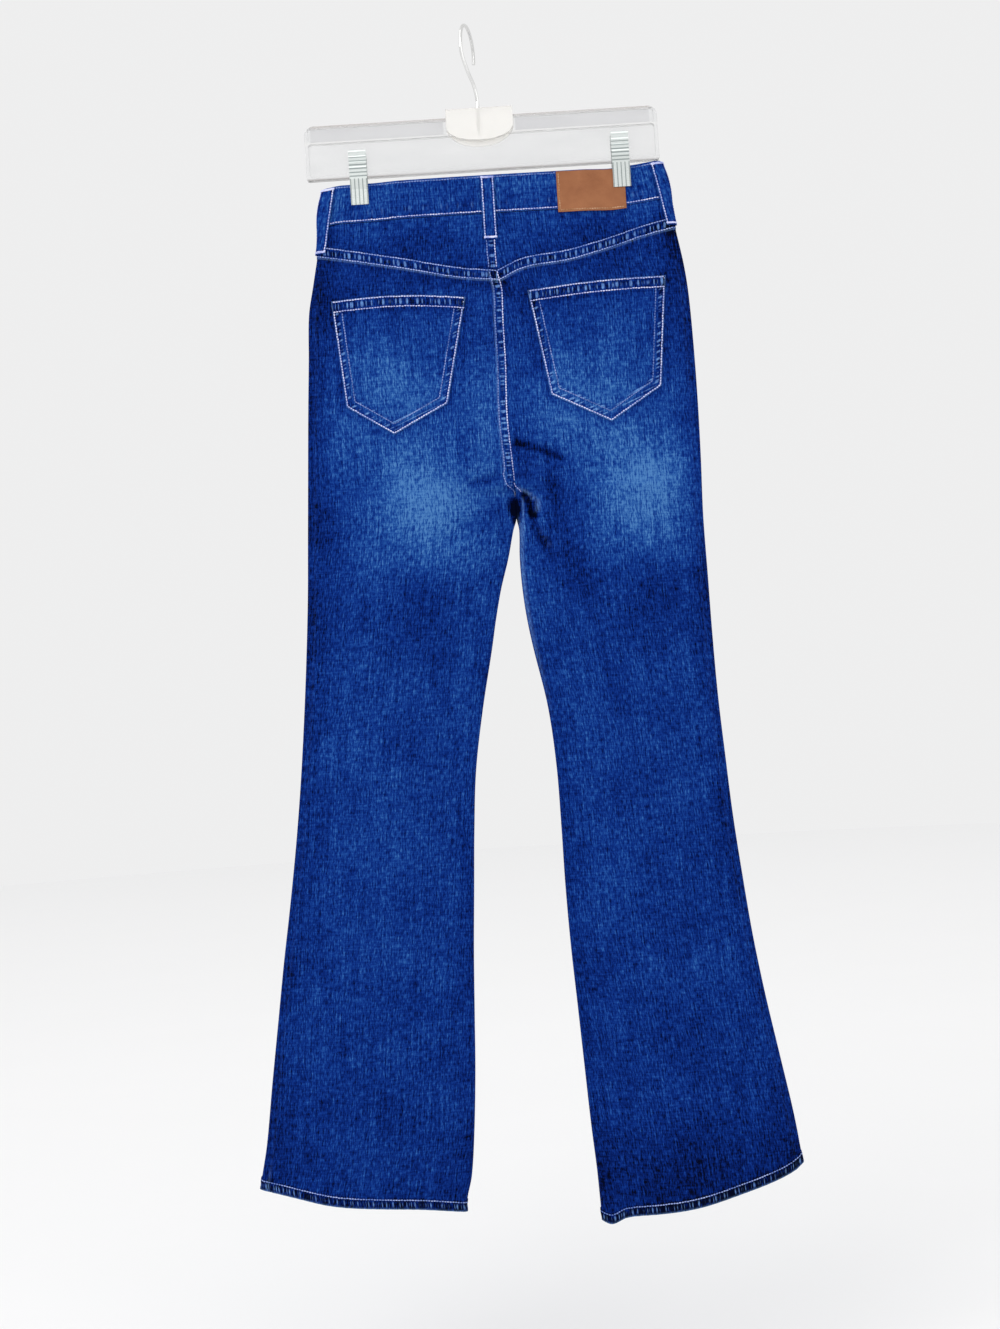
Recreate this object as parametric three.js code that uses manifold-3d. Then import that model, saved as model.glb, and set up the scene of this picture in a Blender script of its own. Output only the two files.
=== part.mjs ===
// A pair of high-waisted flared jeans, hung by the waistband from a clear clip hanger, in millimetres.
// +Z is up, +X runs to the right as the back of the jeans is looked at, and the back faces -Y.
// The origin is the underside of the hook's crown, where the hanger rests on a rail.
import * as THREE from 'three';
import { mergeVertices } from 'three/addons/utils/BufferGeometryUtils.js';
import Module from 'manifold-3d';

const wasm = await Module();
wasm.setup();

// Cloth
const CLOTH = 1.4;            // wall of one layer of denim
const BAND_CLOTH = 3;         // wall of the doubled waistband
const SEAM_GAP = 0.3;         // between two pieces at a seam, and under a piece sewn on top
const FOLD_RADIUS = 5;        // outside radius of the fold along each outseam and inseam
const FELL = 0.7;             // how far a felled seam or a turned hem stands up
const FELL_WIDTH = 13.4;      // width of a felled seam
const STEP = 0.7;             // width of the slope at the edge of a raised strip

// Heights
const BAND_TOP = -172.5;
const BAND_BOTTOM = -216.5;
const CROTCH = -536;
const CROTCH_ROUND = 72;      // height over which the seat curves under to the crotch
const HEM_BAND = 12.5;

// Hanger
const BAR_TOP = -103.5;
const BAR_RIB = -123;
const BAR_BOTTOM = -165.6;
const BAR_LEFT = -193;
const BAR_RIGHT = 213;
const WEB = 3.2;
const RIB_DEPTH = 9;
const RIB_HEIGHT = 4.1;
const BOSS = { x: 9, width: 77, top: -94.3, bottom: -136, depth: 15 };
const WIRE = 4;
const HOOK_RADIUS = 28;
const HOOK_TURN = 14.5;       // degrees between the hook's plane and the line of sight
const SHANK_X = 8;
const CLIP_WIDTH = 20;
const CLIPS = [
  { name: 'left', x: -133.5, top: -134.6, bottom: -196.2, backGrip: 4, frontGrip: 4 },
  { name: 'right', x: 168, top: -132, bottom: -194.7, backGrip: 5.7, frontGrip: 4 },
];
const PINCH_DEPTH = 2.9;      // half depth of the garment under a clip
const PINCH_FLAT = 13;
const PINCH_REACH = 48;
const PINCH_DROP = 78;        // height below the waistband over which the pinch opens out

// Outer edges of the hanging garment, by height
const SIDES = [
  { z: -160, left: -173, right: 212 },
  { z: -172.5, left: -175, right: 215 },
  { z: -217, left: -181.5, right: 222 },
  { z: -244, left: -185, right: 226 },
  { z: -285, left: -193.5, right: 233 },
  { z: -319, left: -200.5, right: 236.5 },
  { z: -370, left: -204, right: 238.5 },
  { z: -439, left: -209, right: 239.5 },
  { z: -508, left: -213.5, right: 239 },
  { z: -577, left: -218, right: 237.5 },
  { z: -646, left: -222.5, right: 238.5 },
  { z: -715, left: -228.5, right: 239.5 },
  { z: -784, left: -235.5, right: 241.5 },
  { z: -853, left: -243.5, right: 245.5 },
  { z: -922, left: -253, right: 250 },
  { z: -991, left: -264, right: 256.5 },
  { z: -1060, left: -276, right: 264 },
  { z: -1129, left: -287, right: 274 },
  { z: -1198, left: -298, right: 286 },
  { z: -1267, left: -308.5, right: 298 },
  { z: -1317, left: -319, right: 304.5 },
  { z: -1375, left: -327, right: 311 },
];

// Inner edges of the two legs, from the crotch to the hem
const INSEAMS = [
  { z: -536, left: 22.85, right: 23.15 },
  { z: -554, left: 21.2, right: 25.8 },
  { z: -577, left: 19.5, right: 25.8 },
  { z: -612, left: 10.8, right: 23.8 },
  { z: -646, left: 0.5, right: 24.6 },
  { z: -680, left: -7.5, right: 27.5 },
  { z: -715, left: -14.5, right: 32.7 },
  { z: -784, left: -29.5, right: 45.3 },
  { z: -853, left: -41.5, right: 51 },
  { z: -922, left: -47.8, right: 52.2 },
  { z: -991, left: -52.4, right: 52.6 },
  { z: -1060, left: -57, right: 54.5 },
  { z: -1129, left: -60.5, right: 58 },
  { z: -1198, left: -64, right: 61.4 },
  { z: -1267, left: -69.5, right: 64.9 },
  { z: -1317, left: -75.5, right: 68.3 },
  { z: -1345, left: -82.5, right: 69.5 },
  { z: -1375, left: -84, right: 70.6 },
];

// The seat seam wanders a little from side to side as it comes down
const CENTRE_SEAM = [
  { z: -160, x: 17.5 },
  { z: -217, x: 17.5 },
  { z: -282, x: 18.5 },
  { z: -306, x: 22.5 },
  { z: -340, x: 21.8 },
  { z: -390, x: 21.5 },
  { z: -450, x: 19.5 },
  { z: -505, x: 22 },
  { z: -536, x: 23 },
];

// Half depth from the middle plane to the fullest part of the cloth
const FULLNESS = [
  { z: -160, depth: 10 },
  { z: -217, depth: 11 },
  { z: -285, depth: 15 },
  { z: -350, depth: 20 },
  { z: -450, depth: 24 },
  { z: -536, depth: 22 },
  { z: -650, depth: 18 },
  { z: -800, depth: 15.5 },
  { z: -1000, depth: 15.5 },
  { z: -1200, depth: 19 },
  { z: -1375, depth: 25 },
];

// Soft flutes that a leg hangs in: at is the place across the leg from outseam to inseam
const FLUTES = [
  { leg: -1, at: 0.3, width: 0.17, from: -800, to: -1340, sway: -4 },
  { leg: -1, at: 0.68, width: 0.16, from: -820, to: -1340, sway: 3.5 },
  { leg: 1, at: 0.28, width: 0.15, from: -800, to: -1340, sway: 4 },
  { leg: 1, at: 0.66, width: 0.17, from: -740, to: -1340, sway: -5 },
];

// Creases drawn across the seat and the tops of the thighs. Face -1 is the back and 1 the front.
const CREASES = [
  { face: -1, x1: 27, z1: -482, x2: 80, z2: -503, width: 7, depth: 3.5 },
  { face: -1, x1: 64, z1: -520, x2: 69, z2: -556, width: 8, depth: 3 },
  { face: -1, x1: 40, z1: -572, x2: 56, z2: -604, width: 7, depth: 3 },
  { face: -1, x1: -28, z1: -527, x2: 6, z2: -520, width: 8, depth: 3 },
  { face: -1, x1: -60, z1: -585, x2: -8, z2: -560, width: 10, depth: 2.5 },
  { face: 1, x1: 30, z1: -500, x2: 92, z2: -470, width: 9, depth: 3.5 },
  { face: 1, x1: 34, z1: -530, x2: 88, z2: -516, width: 8, depth: 3 },
  { face: 1, x1: -66, z1: -478, x2: 10, z2: -505, width: 9, depth: 3.5 },
  { face: 1, x1: -52, z1: -548, x2: 8, z2: -532, width: 8, depth: 3 },
  { face: 1, x1: 44, z1: -596, x2: 78, z2: -570, width: 8, depth: 2.5 },
];

// Height of the yoke seam and of the hem, by place across from outseam (0) to centre or inseam (1)
const YOKE_SEAM = {
  '-1': [
    { at: 0, z: -241 }, { at: 0.25, z: -250.5 }, { at: 0.5, z: -262 },
    { at: 0.8, z: -276.5 }, { at: 1, z: -282 },
  ],
  1: [
    { at: 0, z: -232.5 }, { at: 0.2, z: -241 }, { at: 0.35, z: -250 }, { at: 0.6, z: -263 },
    { at: 0.85, z: -269.5 }, { at: 1, z: -282 },
  ],
};
const HEM = {
  '-1': [
    { at: 0, z: -1317 }, { at: 0.19, z: -1327.5 }, { at: 0.37, z: -1337 }, { at: 0.6, z: -1344.5 },
    { at: 0.8, z: -1349.5 }, { at: 1, z: -1357.5 },
  ],
  1: [
    { at: 0, z: -1325 }, { at: 0.06, z: -1334 }, { at: 0.19, z: -1345 }, { at: 0.35, z: -1355 },
    { at: 0.52, z: -1363.5 }, { at: 0.73, z: -1369.5 }, { at: 0.88, z: -1373.5 }, { at: 0.95, z: -1381 },
    { at: 1, z: -1377 },
  ],
};

// The waistband rides up at its right-hand side and dips at its left-hand corner
const BAND_RISE = [
  { x: -192, rise: -4 },
  { x: -178, rise: -3.5 },
  { x: -155, rise: 0 },
  { x: 150, rise: 0 },
  { x: 185, rise: 2.5 },
  { x: 212, rise: 5 },
  { x: 235, rise: 5 },
];

// Back pockets: corners, and the crown of the curved top edge
const POCKETS = [
  {
    name: 'left', topLeft: [-173.5, -306], topRight: [-19.5, -312], crown: 4.5,
    lowLeft: [-163, -428.5], lowRight: [-47, -432.5], tip: [-110, -463.5],
  },
  {
    name: 'right', topLeft: [51.5, -309], topRight: [210.5, -300], crown: 2.5,
    lowLeft: [71, -430], lowRight: [198, -426], tip: [138, -464],
  },
];
const POCKET_HEM = 14;

// Front scoop pockets
const SCOOP_WIDTH = 0.56;     // as a share of the front panel's width
const SCOOP_HEIGHT = 74;
const FACING_COLUMNS = 4;     // how many of the panel's middle columns the facing reaches
const FACING_DROP = 92;

const FLY = { width: 34, height: 158 };
const PATCH = { left: 92.5, right: 171.5, top: -173.8, bottom: -220.5, cloth: 1.2 };
const LOOP_WIDTH = 15.4;
const LOOP_CLOTH = 1.6;
const BUTTON_RADIUS = 8.5;

const denim = new THREE.MeshStandardMaterial({ color: 0x1c4488, roughness: 0.92, metalness: 0 });
const leather = new THREE.MeshStandardMaterial({ color: 0x9d6743, roughness: 0.6, metalness: 0 });
const clearPlastic = new THREE.MeshStandardMaterial({
  color: 0xe9ebec, roughness: 0.12, metalness: 0, transparent: true, opacity: 0.45,
});
const steel = new THREE.MeshStandardMaterial({ color: 0xbfc4c2, roughness: 0.3, metalness: 1 });
const copper = new THREE.MeshStandardMaterial({ color: 0x9a6a4a, roughness: 0.35, metalness: 1 });

const mix = THREE.MathUtils.lerp;
const clamp = THREE.MathUtils.clamp;
const ease = THREE.MathUtils.smoothstep;
const radians = THREE.MathUtils.degToRad;

// Smooth curve through the rows of a table, read at a value of one column
function along(table, key, value, column) {
  const rising = table[1][key] > table[0][key];
  const past = (row) => (rising ? row[key] >= value : row[key] <= value);
  let n = table.findIndex(past);
  if (n === 0) return table[0][column];
  if (n < 0) return table[table.length - 1][column];
  const a = table[n - 1];
  const b = table[n];
  const before = table[Math.max(n - 2, 0)];
  const after = table[Math.min(n + 1, table.length - 1)];
  const span = b[key] - a[key];
  const slopeA = (b[column] - before[column]) / (b[key] - before[key]);
  const slopeB = (after[column] - a[column]) / (after[key] - a[key]);
  const t = (value - a[key]) / span;
  const t2 = t * t;
  const t3 = t2 * t;
  return (2 * t3 - 3 * t2 + 1) * a[column] + (t3 - 2 * t2 + t) * span * slopeA
    + (3 * t2 - 2 * t3) * b[column] + (t3 - t2) * span * slopeB;
}

const bandShift = (x) => along(BAND_RISE, 'x', x, 'rise');
const legName = (leg) => (leg < 0 ? 'left' : 'right');
const centreX = (z) => along(CENTRE_SEAM, 'z', z, 'x');
const sideX = (leg, z) => along(SIDES, 'z', z, legName(leg));

function innerX(leg, z) {
  if (z >= CROTCH) return centreX(z) + leg * SEAM_GAP / 2;
  return along(INSEAMS, 'z', z, legName(leg));
}

// 1 where the two halves of the seat join smoothly, 0 at the crotch and down the legs
function joined(z) {
  const up = clamp((z - CROTCH) / CROTCH_ROUND, 0, 1);
  return Math.sqrt(1 - (1 - up) ** 2);
}

function roundEdge(distance) {
  const d = clamp(distance, 0, FOLD_RADIUS);
  return Math.sqrt(FOLD_RADIUS ** 2 - (FOLD_RADIUS - d) ** 2);
}

function pinch(x, z) {
  const fade = 1 - ease(-z, -BAND_BOTTOM, -BAND_BOTTOM + PINCH_DROP);
  const nearest = Math.min(...CLIPS.map((clip) => Math.abs(x - clip.x)));
  return fade * (1 - ease(nearest, PINCH_FLAT, PINCH_REACH));
}

function creaseDepth(face, x, z) {
  let sum = 0;
  for (const crease of CREASES) {
    if (crease.face !== face) continue;
    const dx = crease.x2 - crease.x1;
    const dz = crease.z2 - crease.z1;
    const t = clamp(((x - crease.x1) * dx + (z - crease.z1) * dz) / (dx * dx + dz * dz), 0, 1);
    const away = Math.hypot(x - crease.x1 - t * dx, z - crease.z1 - t * dz);
    sum += crease.depth * Math.exp(-((away / crease.width) ** 2)) * (0.45 + 0.55 * Math.sin(Math.PI * t));
  }
  return sum;
}

// A point of the cloth's outer face. Face -1 is the back, 1 the front.
function clothPoint(leg, face, x, z) {
  const outer = sideX(leg, z);
  const inner = innerX(leg, z);
  const across = clamp((x - outer) / (inner - outer), 0, 1);
  const open = joined(z);
  const rim = Math.min(
    roundEdge(Math.abs(x - outer)),
    mix(roundEdge(Math.abs(inner - x)), FOLD_RADIUS, open),
  );
  const crown = mix(Math.sin(Math.PI * across), Math.sin(Math.PI * across / 2), open);
  let depth = rim + (along(FULLNESS, 'z', z, 'depth') - FOLD_RADIUS) * crown;
  const fromFold = open > 0 ? across : Math.min(across, 1 - across);
  depth -= creaseDepth(face, x, z) * Math.sqrt(Math.sin(Math.PI * fromFold));
  depth = mix(depth, Math.min(depth, PINCH_DEPTH), pinch(x, z));
  let sway = 0;
  for (const flute of FLUTES) {
    if (flute.leg !== leg) continue;
    const reach = ease(-z, -flute.from, -flute.to);
    sway += flute.sway * reach * Math.exp(-(((across - flute.at) / flute.width) ** 2));
  }
  sway *= Math.sin(Math.PI * across);
  return new THREE.Vector3(x, sway + face * Math.max(depth, SEAM_GAP / 2), z);
}

// Closed solid between two grids of points: the given grid moved out along its normals by outer and by
// inner (negative is inwards). pin may set a point of the border exactly.
function slab(grid, { outer, inner, outward, normal = null, pin = null }) {
  const rows = grid.length;
  const cols = grid[0].length;
  const at = (i, j) => grid[clamp(i, 0, rows - 1)][clamp(j, 0, cols - 1)];
  const normals = grid.map((row, i) => row.map((point, j) => {
    const down = at(i + 1, j).clone().sub(at(i - 1, j));
    const over = at(i, j + 1).clone().sub(at(i, j - 1));
    return over.cross(down).normalize();
  }));
  const middle = normals[Math.floor(rows / 2)][Math.floor(cols / 2)];
  const sign = Math.sign(middle.dot(outward));
  const positions = [];
  for (const face of ['outer', 'inner']) {
    const move = face === 'outer' ? outer : inner;
    grid.forEach((row, i) => row.forEach((point, j) => {
      let n = normals[i][j].clone().multiplyScalar(sign);
      if (normal) n = normal(i, j, n) ?? n;
      const p = point.clone().addScaledVector(n, move(i, j));
      if (pin) pin(i, j, p, face);
      positions.push(p.x, p.y, p.z);
    }));
  }
  const index = [];
  const id = (face, i, j) => face * rows * cols + i * cols + j;
  const quad = (a, b, c, d) => index.push(a, b, c, a, c, d);
  for (let i = 0; i < rows - 1; i++) {
    for (let j = 0; j < cols - 1; j++) {
      quad(id(0, i, j), id(0, i + 1, j), id(0, i + 1, j + 1), id(0, i, j + 1));
      quad(id(1, i, j), id(1, i, j + 1), id(1, i + 1, j + 1), id(1, i + 1, j));
    }
  }
  for (let i = 0; i < rows - 1; i++) {
    quad(id(0, i, 0), id(1, i, 0), id(1, i + 1, 0), id(0, i + 1, 0));
    quad(id(0, i + 1, cols - 1), id(1, i + 1, cols - 1), id(1, i, cols - 1), id(0, i, cols - 1));
  }
  for (let j = 0; j < cols - 1; j++) {
    quad(id(0, 0, j + 1), id(1, 0, j + 1), id(1, 0, j), id(0, 0, j));
    quad(id(0, rows - 1, j), id(1, rows - 1, j), id(1, rows - 1, j + 1), id(0, rows - 1, j + 1));
  }
  return outwardGeometry(positions, index);
}

// Indexed geometry whose faces are turned so that the solid's volume is positive
function outwardGeometry(positions, index) {
  const corner = (n) => new THREE.Vector3().fromArray(positions, 3 * n);
  let volume = 0;
  for (let k = 0; k < index.length; k += 3) {
    volume += corner(index[k]).dot(corner(index[k + 1]).cross(corner(index[k + 2])));
  }
  if (volume < 0) {
    for (let k = 0; k < index.length; k += 3) {
      [index[k + 1], index[k + 2]] = [index[k + 2], index[k + 1]];
    }
  }
  const geometry = new THREE.BufferGeometry();
  geometry.setAttribute('position', new THREE.Float32BufferAttribute(positions, 3));
  geometry.setIndex(index);
  return geometry;
}

function solidOf(geometry) {
  const bare = geometry.clone();
  bare.deleteAttribute('normal');
  bare.deleteAttribute('uv');
  const merged = mergeVertices(bare, 1e-4);
  const vertProperties = new Float32Array(merged.attributes.position.array);
  return new wasm.Manifold(new wasm.Mesh({
    numProp: 3, vertProperties, triVerts: new Uint32Array(merged.index.array),
  }));
}

function geometryOf(solid) {
  const mesh = solid.getMesh();
  const geometry = new THREE.BufferGeometry();
  geometry.setAttribute('position', new THREE.BufferAttribute(mesh.vertProperties.slice(), 3));
  geometry.setIndex(new THREE.BufferAttribute(mesh.triVerts.slice(), 1));
  return geometry;
}

function node(name, geometry, material) {
  const mesh = new THREE.Mesh(geometry, material);
  mesh.name = name;
  return mesh;
}

// Places across a panel: by distance from the outseam, by share of the middle, by distance from the inner edge
const foldSteps = [0, 30, 60, 90].map((angle) => FOLD_RADIUS * (1 - Math.cos(radians(angle))));
const RIDGE = [9, 11.5, 14];  // the seam allowance shows as a soft ridge inside the outseam
const MIDDLE_SHARES = [1, 2, 3, 4, 5].map((n) => n / 6);

function panelColumns(leg, z) {
  const outer = sideX(leg, z);
  const inner = innerX(leg, z);
  const inward = -leg;
  const fromSide = [...foldSteps, ...RIDGE].map((d) => outer + inward * d);
  const fromInner = [FELL_WIDTH + STEP, FELL_WIDTH, ...[...foldSteps].reverse()].map((d) => inner - inward * d);
  const start = fromSide[fromSide.length - 1];
  const shares = MIDDLE_SHARES.map((share) => mix(start, fromInner[0], share));
  return [...fromSide, ...shares, ...fromInner];
}
const COLUMN_COUNT = foldSteps.length * 2 + RIDGE.length + MIDDLE_SHARES.length + 2;
const RIDGE_COLUMN = foldSteps.length + 1;
const FELL_COLUMN = COLUMN_COUNT - foldSteps.length - 1;

const shareAt = (leg, x, z) => clamp((x - sideX(leg, z)) / (innerX(leg, z) - sideX(leg, z)), 0, 1);

// Grid of points of one panel between a top line and a bottom line, both given by share and by x, with the
// levels of its rows read at the inner edge. Each line is met at its own height, found in a few rounds.
function panelGrid(leg, face, topLine, bottomLine, levels) {
  const first = levels[0];
  const last = levels[levels.length - 1];
  const lineHeight = (line, j, start) => {
    let z = start;
    for (let round = 0; round < 4; round++) {
      const x = panelColumns(leg, z)[j];
      z = line(shareAt(leg, x, z), x);
    }
    return z;
  };
  return levels.map((level) => {
    const down = (level - first) / (last - first);
    return Array.from({ length: COLUMN_COUNT }, (_, j) => {
      const z = mix(lineHeight(topLine, j, first), lineHeight(bottomLine, j, last), down);
      return clothPoint(leg, face, panelColumns(leg, z)[j], z);
    });
  });
}

// Seam edges: the outseam and inseam close on the middle plane, the centre seam on its own upright plane
function seamRules(leg, face, grid) {
  const lastRow = grid.length - 1;
  const lastCol = COLUMN_COUNT - 1;
  return {
    normal(i, j) {
      if (j === 0) return new THREE.Vector3(leg, 0, 0);
      if (j !== lastCol) return null;
      const p = grid[i][j];
      if (p.z < CROTCH - 1) return new THREE.Vector3(-leg, 0, 0);
      if (p.z < CROTCH + 1) return new THREE.Vector3(-leg * 0.5, 0, -0.85);
      const above = grid[Math.max(i - 1, 0)][j];
      const below = grid[Math.min(i + 1, lastRow)][j];
      const run = above.clone().sub(below);
      return new THREE.Vector3(0, face * run.z, -face * run.y).normalize();
    },
    pin(i, j, p) {
      if (j === 0) p.y = face * SEAM_GAP / 2;
      if (j === lastCol && grid[i][j].z >= CROTCH - 1) p.x = grid[i][j].x;
      if (j === lastCol && grid[i][j].z <= CROTCH + 1) p.y = face * SEAM_GAP / 2;
      if (i === 0 || i === lastRow) p.z = grid[i][j].z;
      if (face * p.y < SEAM_GAP / 2) p.y = face * SEAM_GAP / 2;
    },
  };
}

const yokeSeam = (leg) => (share) => along(YOKE_SEAM[leg], 'at', share, 'z');
const hemLine = (leg) => (share) => along(HEM[leg], 'at', share, 'z');

// Levels of the rows down a leg panel, read at the inner edge
function panelLevels(top, bottom, upper) {
  const seat = [-330, -368, -406, -440];
  const crotch = [66, 44, 26, 12, 3, 0].map((up) => CROTCH + up);
  const thigh = [-5, -16, -34, -60, -92].map((up) => CROTCH + up);
  const legTop = thigh[thigh.length - 1];
  const legRows = 10;
  const legBottom = bottom + HEM_BAND + 20;
  const leg = Array.from({ length: legRows }, (_, n) => mix(legTop, legBottom, (n + 1) / legRows));
  const hem = [bottom + HEM_BAND + STEP, bottom + HEM_BAND, bottom];
  return [top, ...upper, ...seat, ...crotch, ...thigh, ...leg, ...hem];
}

function backPanel(leg) {
  const bottom = hemLine(leg);
  const topLine = (share) => yokeSeam(leg)(share) - SEAM_GAP;
  const top = topLine(1);
  const levels = panelLevels(top, bottom(1), [top - FELL_WIDTH, top - FELL_WIDTH - STEP]);
  const grid = panelGrid(leg, -1, topLine, bottom, levels);
  const hemStart = levels.length - 2;
  const felled = leg < 0;
  const crotchRow = levels.indexOf(CROTCH);
  const lift = (i, j) => {
    if (i < 2 || i >= hemStart) return FELL;
    if (felled && j >= FELL_COLUMN && i < crotchRow - 1) return FELL;
    if (j === RIDGE_COLUMN) return FELL / 2;
    return 0;
  };
  return slab(grid, {
    outer: lift, inner: () => -CLOTH, outward: new THREE.Vector3(0, -1, 0), ...seamRules(leg, -1, grid),
  });
}

const underBand = (x) => BAND_BOTTOM - 2 * SEAM_GAP + bandShift(x);
const scoopEdge = (share) => SCOOP_HEIGHT * Math.max(0, 1 - (share / SCOOP_WIDTH) ** 2.4) ** 0.62;

function frontPanel(leg) {
  const top = (share, x) => underBand(x) - scoopEdge(share);
  const bottom = hemLine(leg);
  const levels = panelLevels(BAND_BOTTOM - SEAM_GAP, bottom(1) + 1.5, [-238, -260, -282, -304]);
  const grid = panelGrid(leg, 1, top, (share) => bottom(share) + 1.5, levels);
  const hemStart = levels.length - 2;
  const lift = (i) => (i >= hemStart ? FELL : 0);
  return slab(grid, {
    outer: lift, inner: () => -CLOTH, outward: new THREE.Vector3(0, 1, 0), ...seamRules(leg, 1, grid),
  });
}

function yoke(leg) {
  const topLine = (share, x) => underBand(x);
  const bottom = yokeSeam(leg)(1);
  const levels = [0, 0.33, 0.66, 1].map((share) => mix(underBand(centreX(BAND_BOTTOM)), bottom, share));
  const grid = panelGrid(leg, -1, topLine, yokeSeam(leg), levels);
  const felled = leg < 0;
  return slab(grid, {
    outer: (i, j) => (felled && j >= FELL_COLUMN ? FELL : 0),
    inner: () => -CLOTH,
    outward: new THREE.Vector3(0, -1, 0),
    ...seamRules(leg, -1, grid),
  });
}

// Cloth that backs a front scoop pocket: flush in the opening, tucked behind the panel past its edge
function pocketFacing(leg) {
  const levels = [0, 0.16, 0.32, 0.48, 0.64, 0.8, 1];
  const columnCount = foldSteps.length + RIDGE.length + FACING_COLUMNS;
  const places = levels.map((down) => Array.from({ length: columnCount }, (_, j) => {
    let z = BAND_BOTTOM - down * FACING_DROP;
    let x = 0;
    for (let round = 0; round < 4; round++) {
      x = panelColumns(leg, z)[j];
      z = underBand(x) - down * FACING_DROP;
    }
    return { x, z, share: shareAt(leg, x, z), down };
  }));
  const grid = places.map((row) => row.map(({ x, z }) => clothPoint(leg, 1, x, z)));
  const tuck = (i, j) => {
    const { share, down } = places[i][j];
    const reach = Math.hypot(share / SCOOP_WIDTH, down * FACING_DROP / SCOOP_HEIGHT);
    return -(CLOTH + SEAM_GAP + 0.4) * ease(reach, 0.6, 0.86);
  };
  return slab(grid, {
    outer: tuck,
    inner: (i, j) => tuck(i, j) - CLOTH * 0.8,
    outward: new THREE.Vector3(0, 1, 0),
    normal: (i, j) => (j === 0 ? new THREE.Vector3(leg, 0, 0) : null),
    pin(i, j, p) {
      if (j === 0 || p.y < SEAM_GAP / 2) p.y = SEAM_GAP / 2;
      if (i === 0) p.z = grid[i][j].z;
    },
  });
}

// Stations round the waistband, from the front overlap to the left, round the back and home again
function bandStations() {
  const z = (BAND_TOP + BAND_BOTTOM) / 2;
  const centre = centreX(z);
  const stations = [];
  const add = (face, from, to, count, under = 0) => {
    for (let n = 0; n < count; n++) stations.push({ face, x: mix(from, to, n / count), under });
  };
  const left = sideX(-1, z);
  const right = sideX(1, z);
  const clipEdges = (clip) => [clip.x - PINCH_REACH, clip.x - PINCH_FLAT, clip.x + PINCH_FLAT, clip.x + PINCH_REACH];
  const [leftFar, leftOuter, leftInner, leftNear] = clipEdges(CLIPS[0]);
  const [rightNear, rightInner, rightOuter, rightFar] = clipEdges(CLIPS[1]);
  const foldAt = (side, face, angles) => {
    for (const angle of angles) {
      stations.push({ face, x: side - Math.sign(side) * FOLD_RADIUS * (1 - Math.cos(radians(angle))), under: 0 });
    }
  };
  add(1, centre + 22, leftNear, 5);
  add(1, leftNear, leftInner, 4);
  add(1, leftInner, leftOuter, 1);
  add(1, leftOuter, Math.max(leftFar, left + 8), 3);
  foldAt(left, 1, [90, 60, 30]);
  foldAt(left, -1, [0, 30, 60, 90]);
  add(-1, Math.max(leftFar, left + 8), leftOuter, 3);
  add(-1, leftOuter, leftInner, 1);
  add(-1, leftInner, leftNear, 4);
  add(-1, leftNear, rightNear, 8);
  add(-1, rightNear, rightInner, 4);
  add(-1, rightInner, rightOuter, 1);
  add(-1, rightOuter, Math.min(rightFar, right - 8), 3);
  foldAt(right, -1, [90, 60, 30]);
  foldAt(right, 1, [0, 30, 60, 90]);
  add(1, Math.min(rightFar, right - 8), rightOuter, 3);
  add(1, rightOuter, rightInner, 1);
  add(1, rightInner, rightNear, 4);
  add(1, rightNear, centre + 40, 2);
  add(1, centre + 34, centre + 26, 1, 0.6);
  add(1, centre + 26, centre - 18, 3, 1);
  stations.push({ face: 1, x: centre - 18, under: 1 });
  return stations;
}

function waistband() {
  const stations = bandStations();
  const rows = [
    { z: BAND_TOP, lift: 0.2 },
    { z: BAND_TOP - 2, lift: 0.8 },
    { z: (BAND_TOP + BAND_BOTTOM) / 2, lift: 0.8 },
    { z: BAND_BOTTOM, lift: 0.8 },
  ];
  const reference = (BAND_TOP + BAND_BOTTOM) / 2;
  const grid = rows.map(({ z }) => stations.map(({ face, x }) => {
    const leg = x < centreX(reference) ? -1 : 1;
    const offset = x - sideX(leg, reference);
    const height = z + bandShift(x);
    const place = Math.abs(offset) < 45 ? sideX(leg, height) + offset : x;
    return clothPoint(leg, face, place, height);
  }));
  const drop = (j) => -(BAND_CLOTH + SEAM_GAP) * stations[j].under;
  return slab(grid, {
    outer: (i, j) => rows[i].lift + drop(j),
    inner: (i, j) => 0.8 - BAND_CLOTH + drop(j),
    outward: new THREE.Vector3(0, -1, 0),
    normal: (i, j, n) => n.setZ(0).normalize(),
  });
}

const tipShareOf = ({ tip, lowLeft, lowRight }) => (tip[0] - lowLeft[0]) / (lowRight[0] - lowLeft[0]);

// A point of a back pocket, share is across and down runs from the top edge to the pointed foot
function pocketPlace(pocket, share, down) {
  const [tl, tr, bl, br] = [pocket.topLeft, pocket.topRight, pocket.lowLeft, pocket.lowRight];
  const tipShare = tipShareOf(pocket);
  const topX = mix(tl[0], tr[0], share);
  const topZ = mix(tl[1], tr[1], share) + pocket.crown * Math.sin(Math.PI * share);
  const towards = share < tipShare ? share / tipShare : (1 - share) / (1 - tipShare);
  const lowX = mix(bl[0], br[0], share);
  const lowZ = mix(share < tipShare ? bl[1] : br[1], pocket.tip[1], towards);
  return [mix(topX, lowX, down), mix(topZ, lowZ, down)];
}

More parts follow.
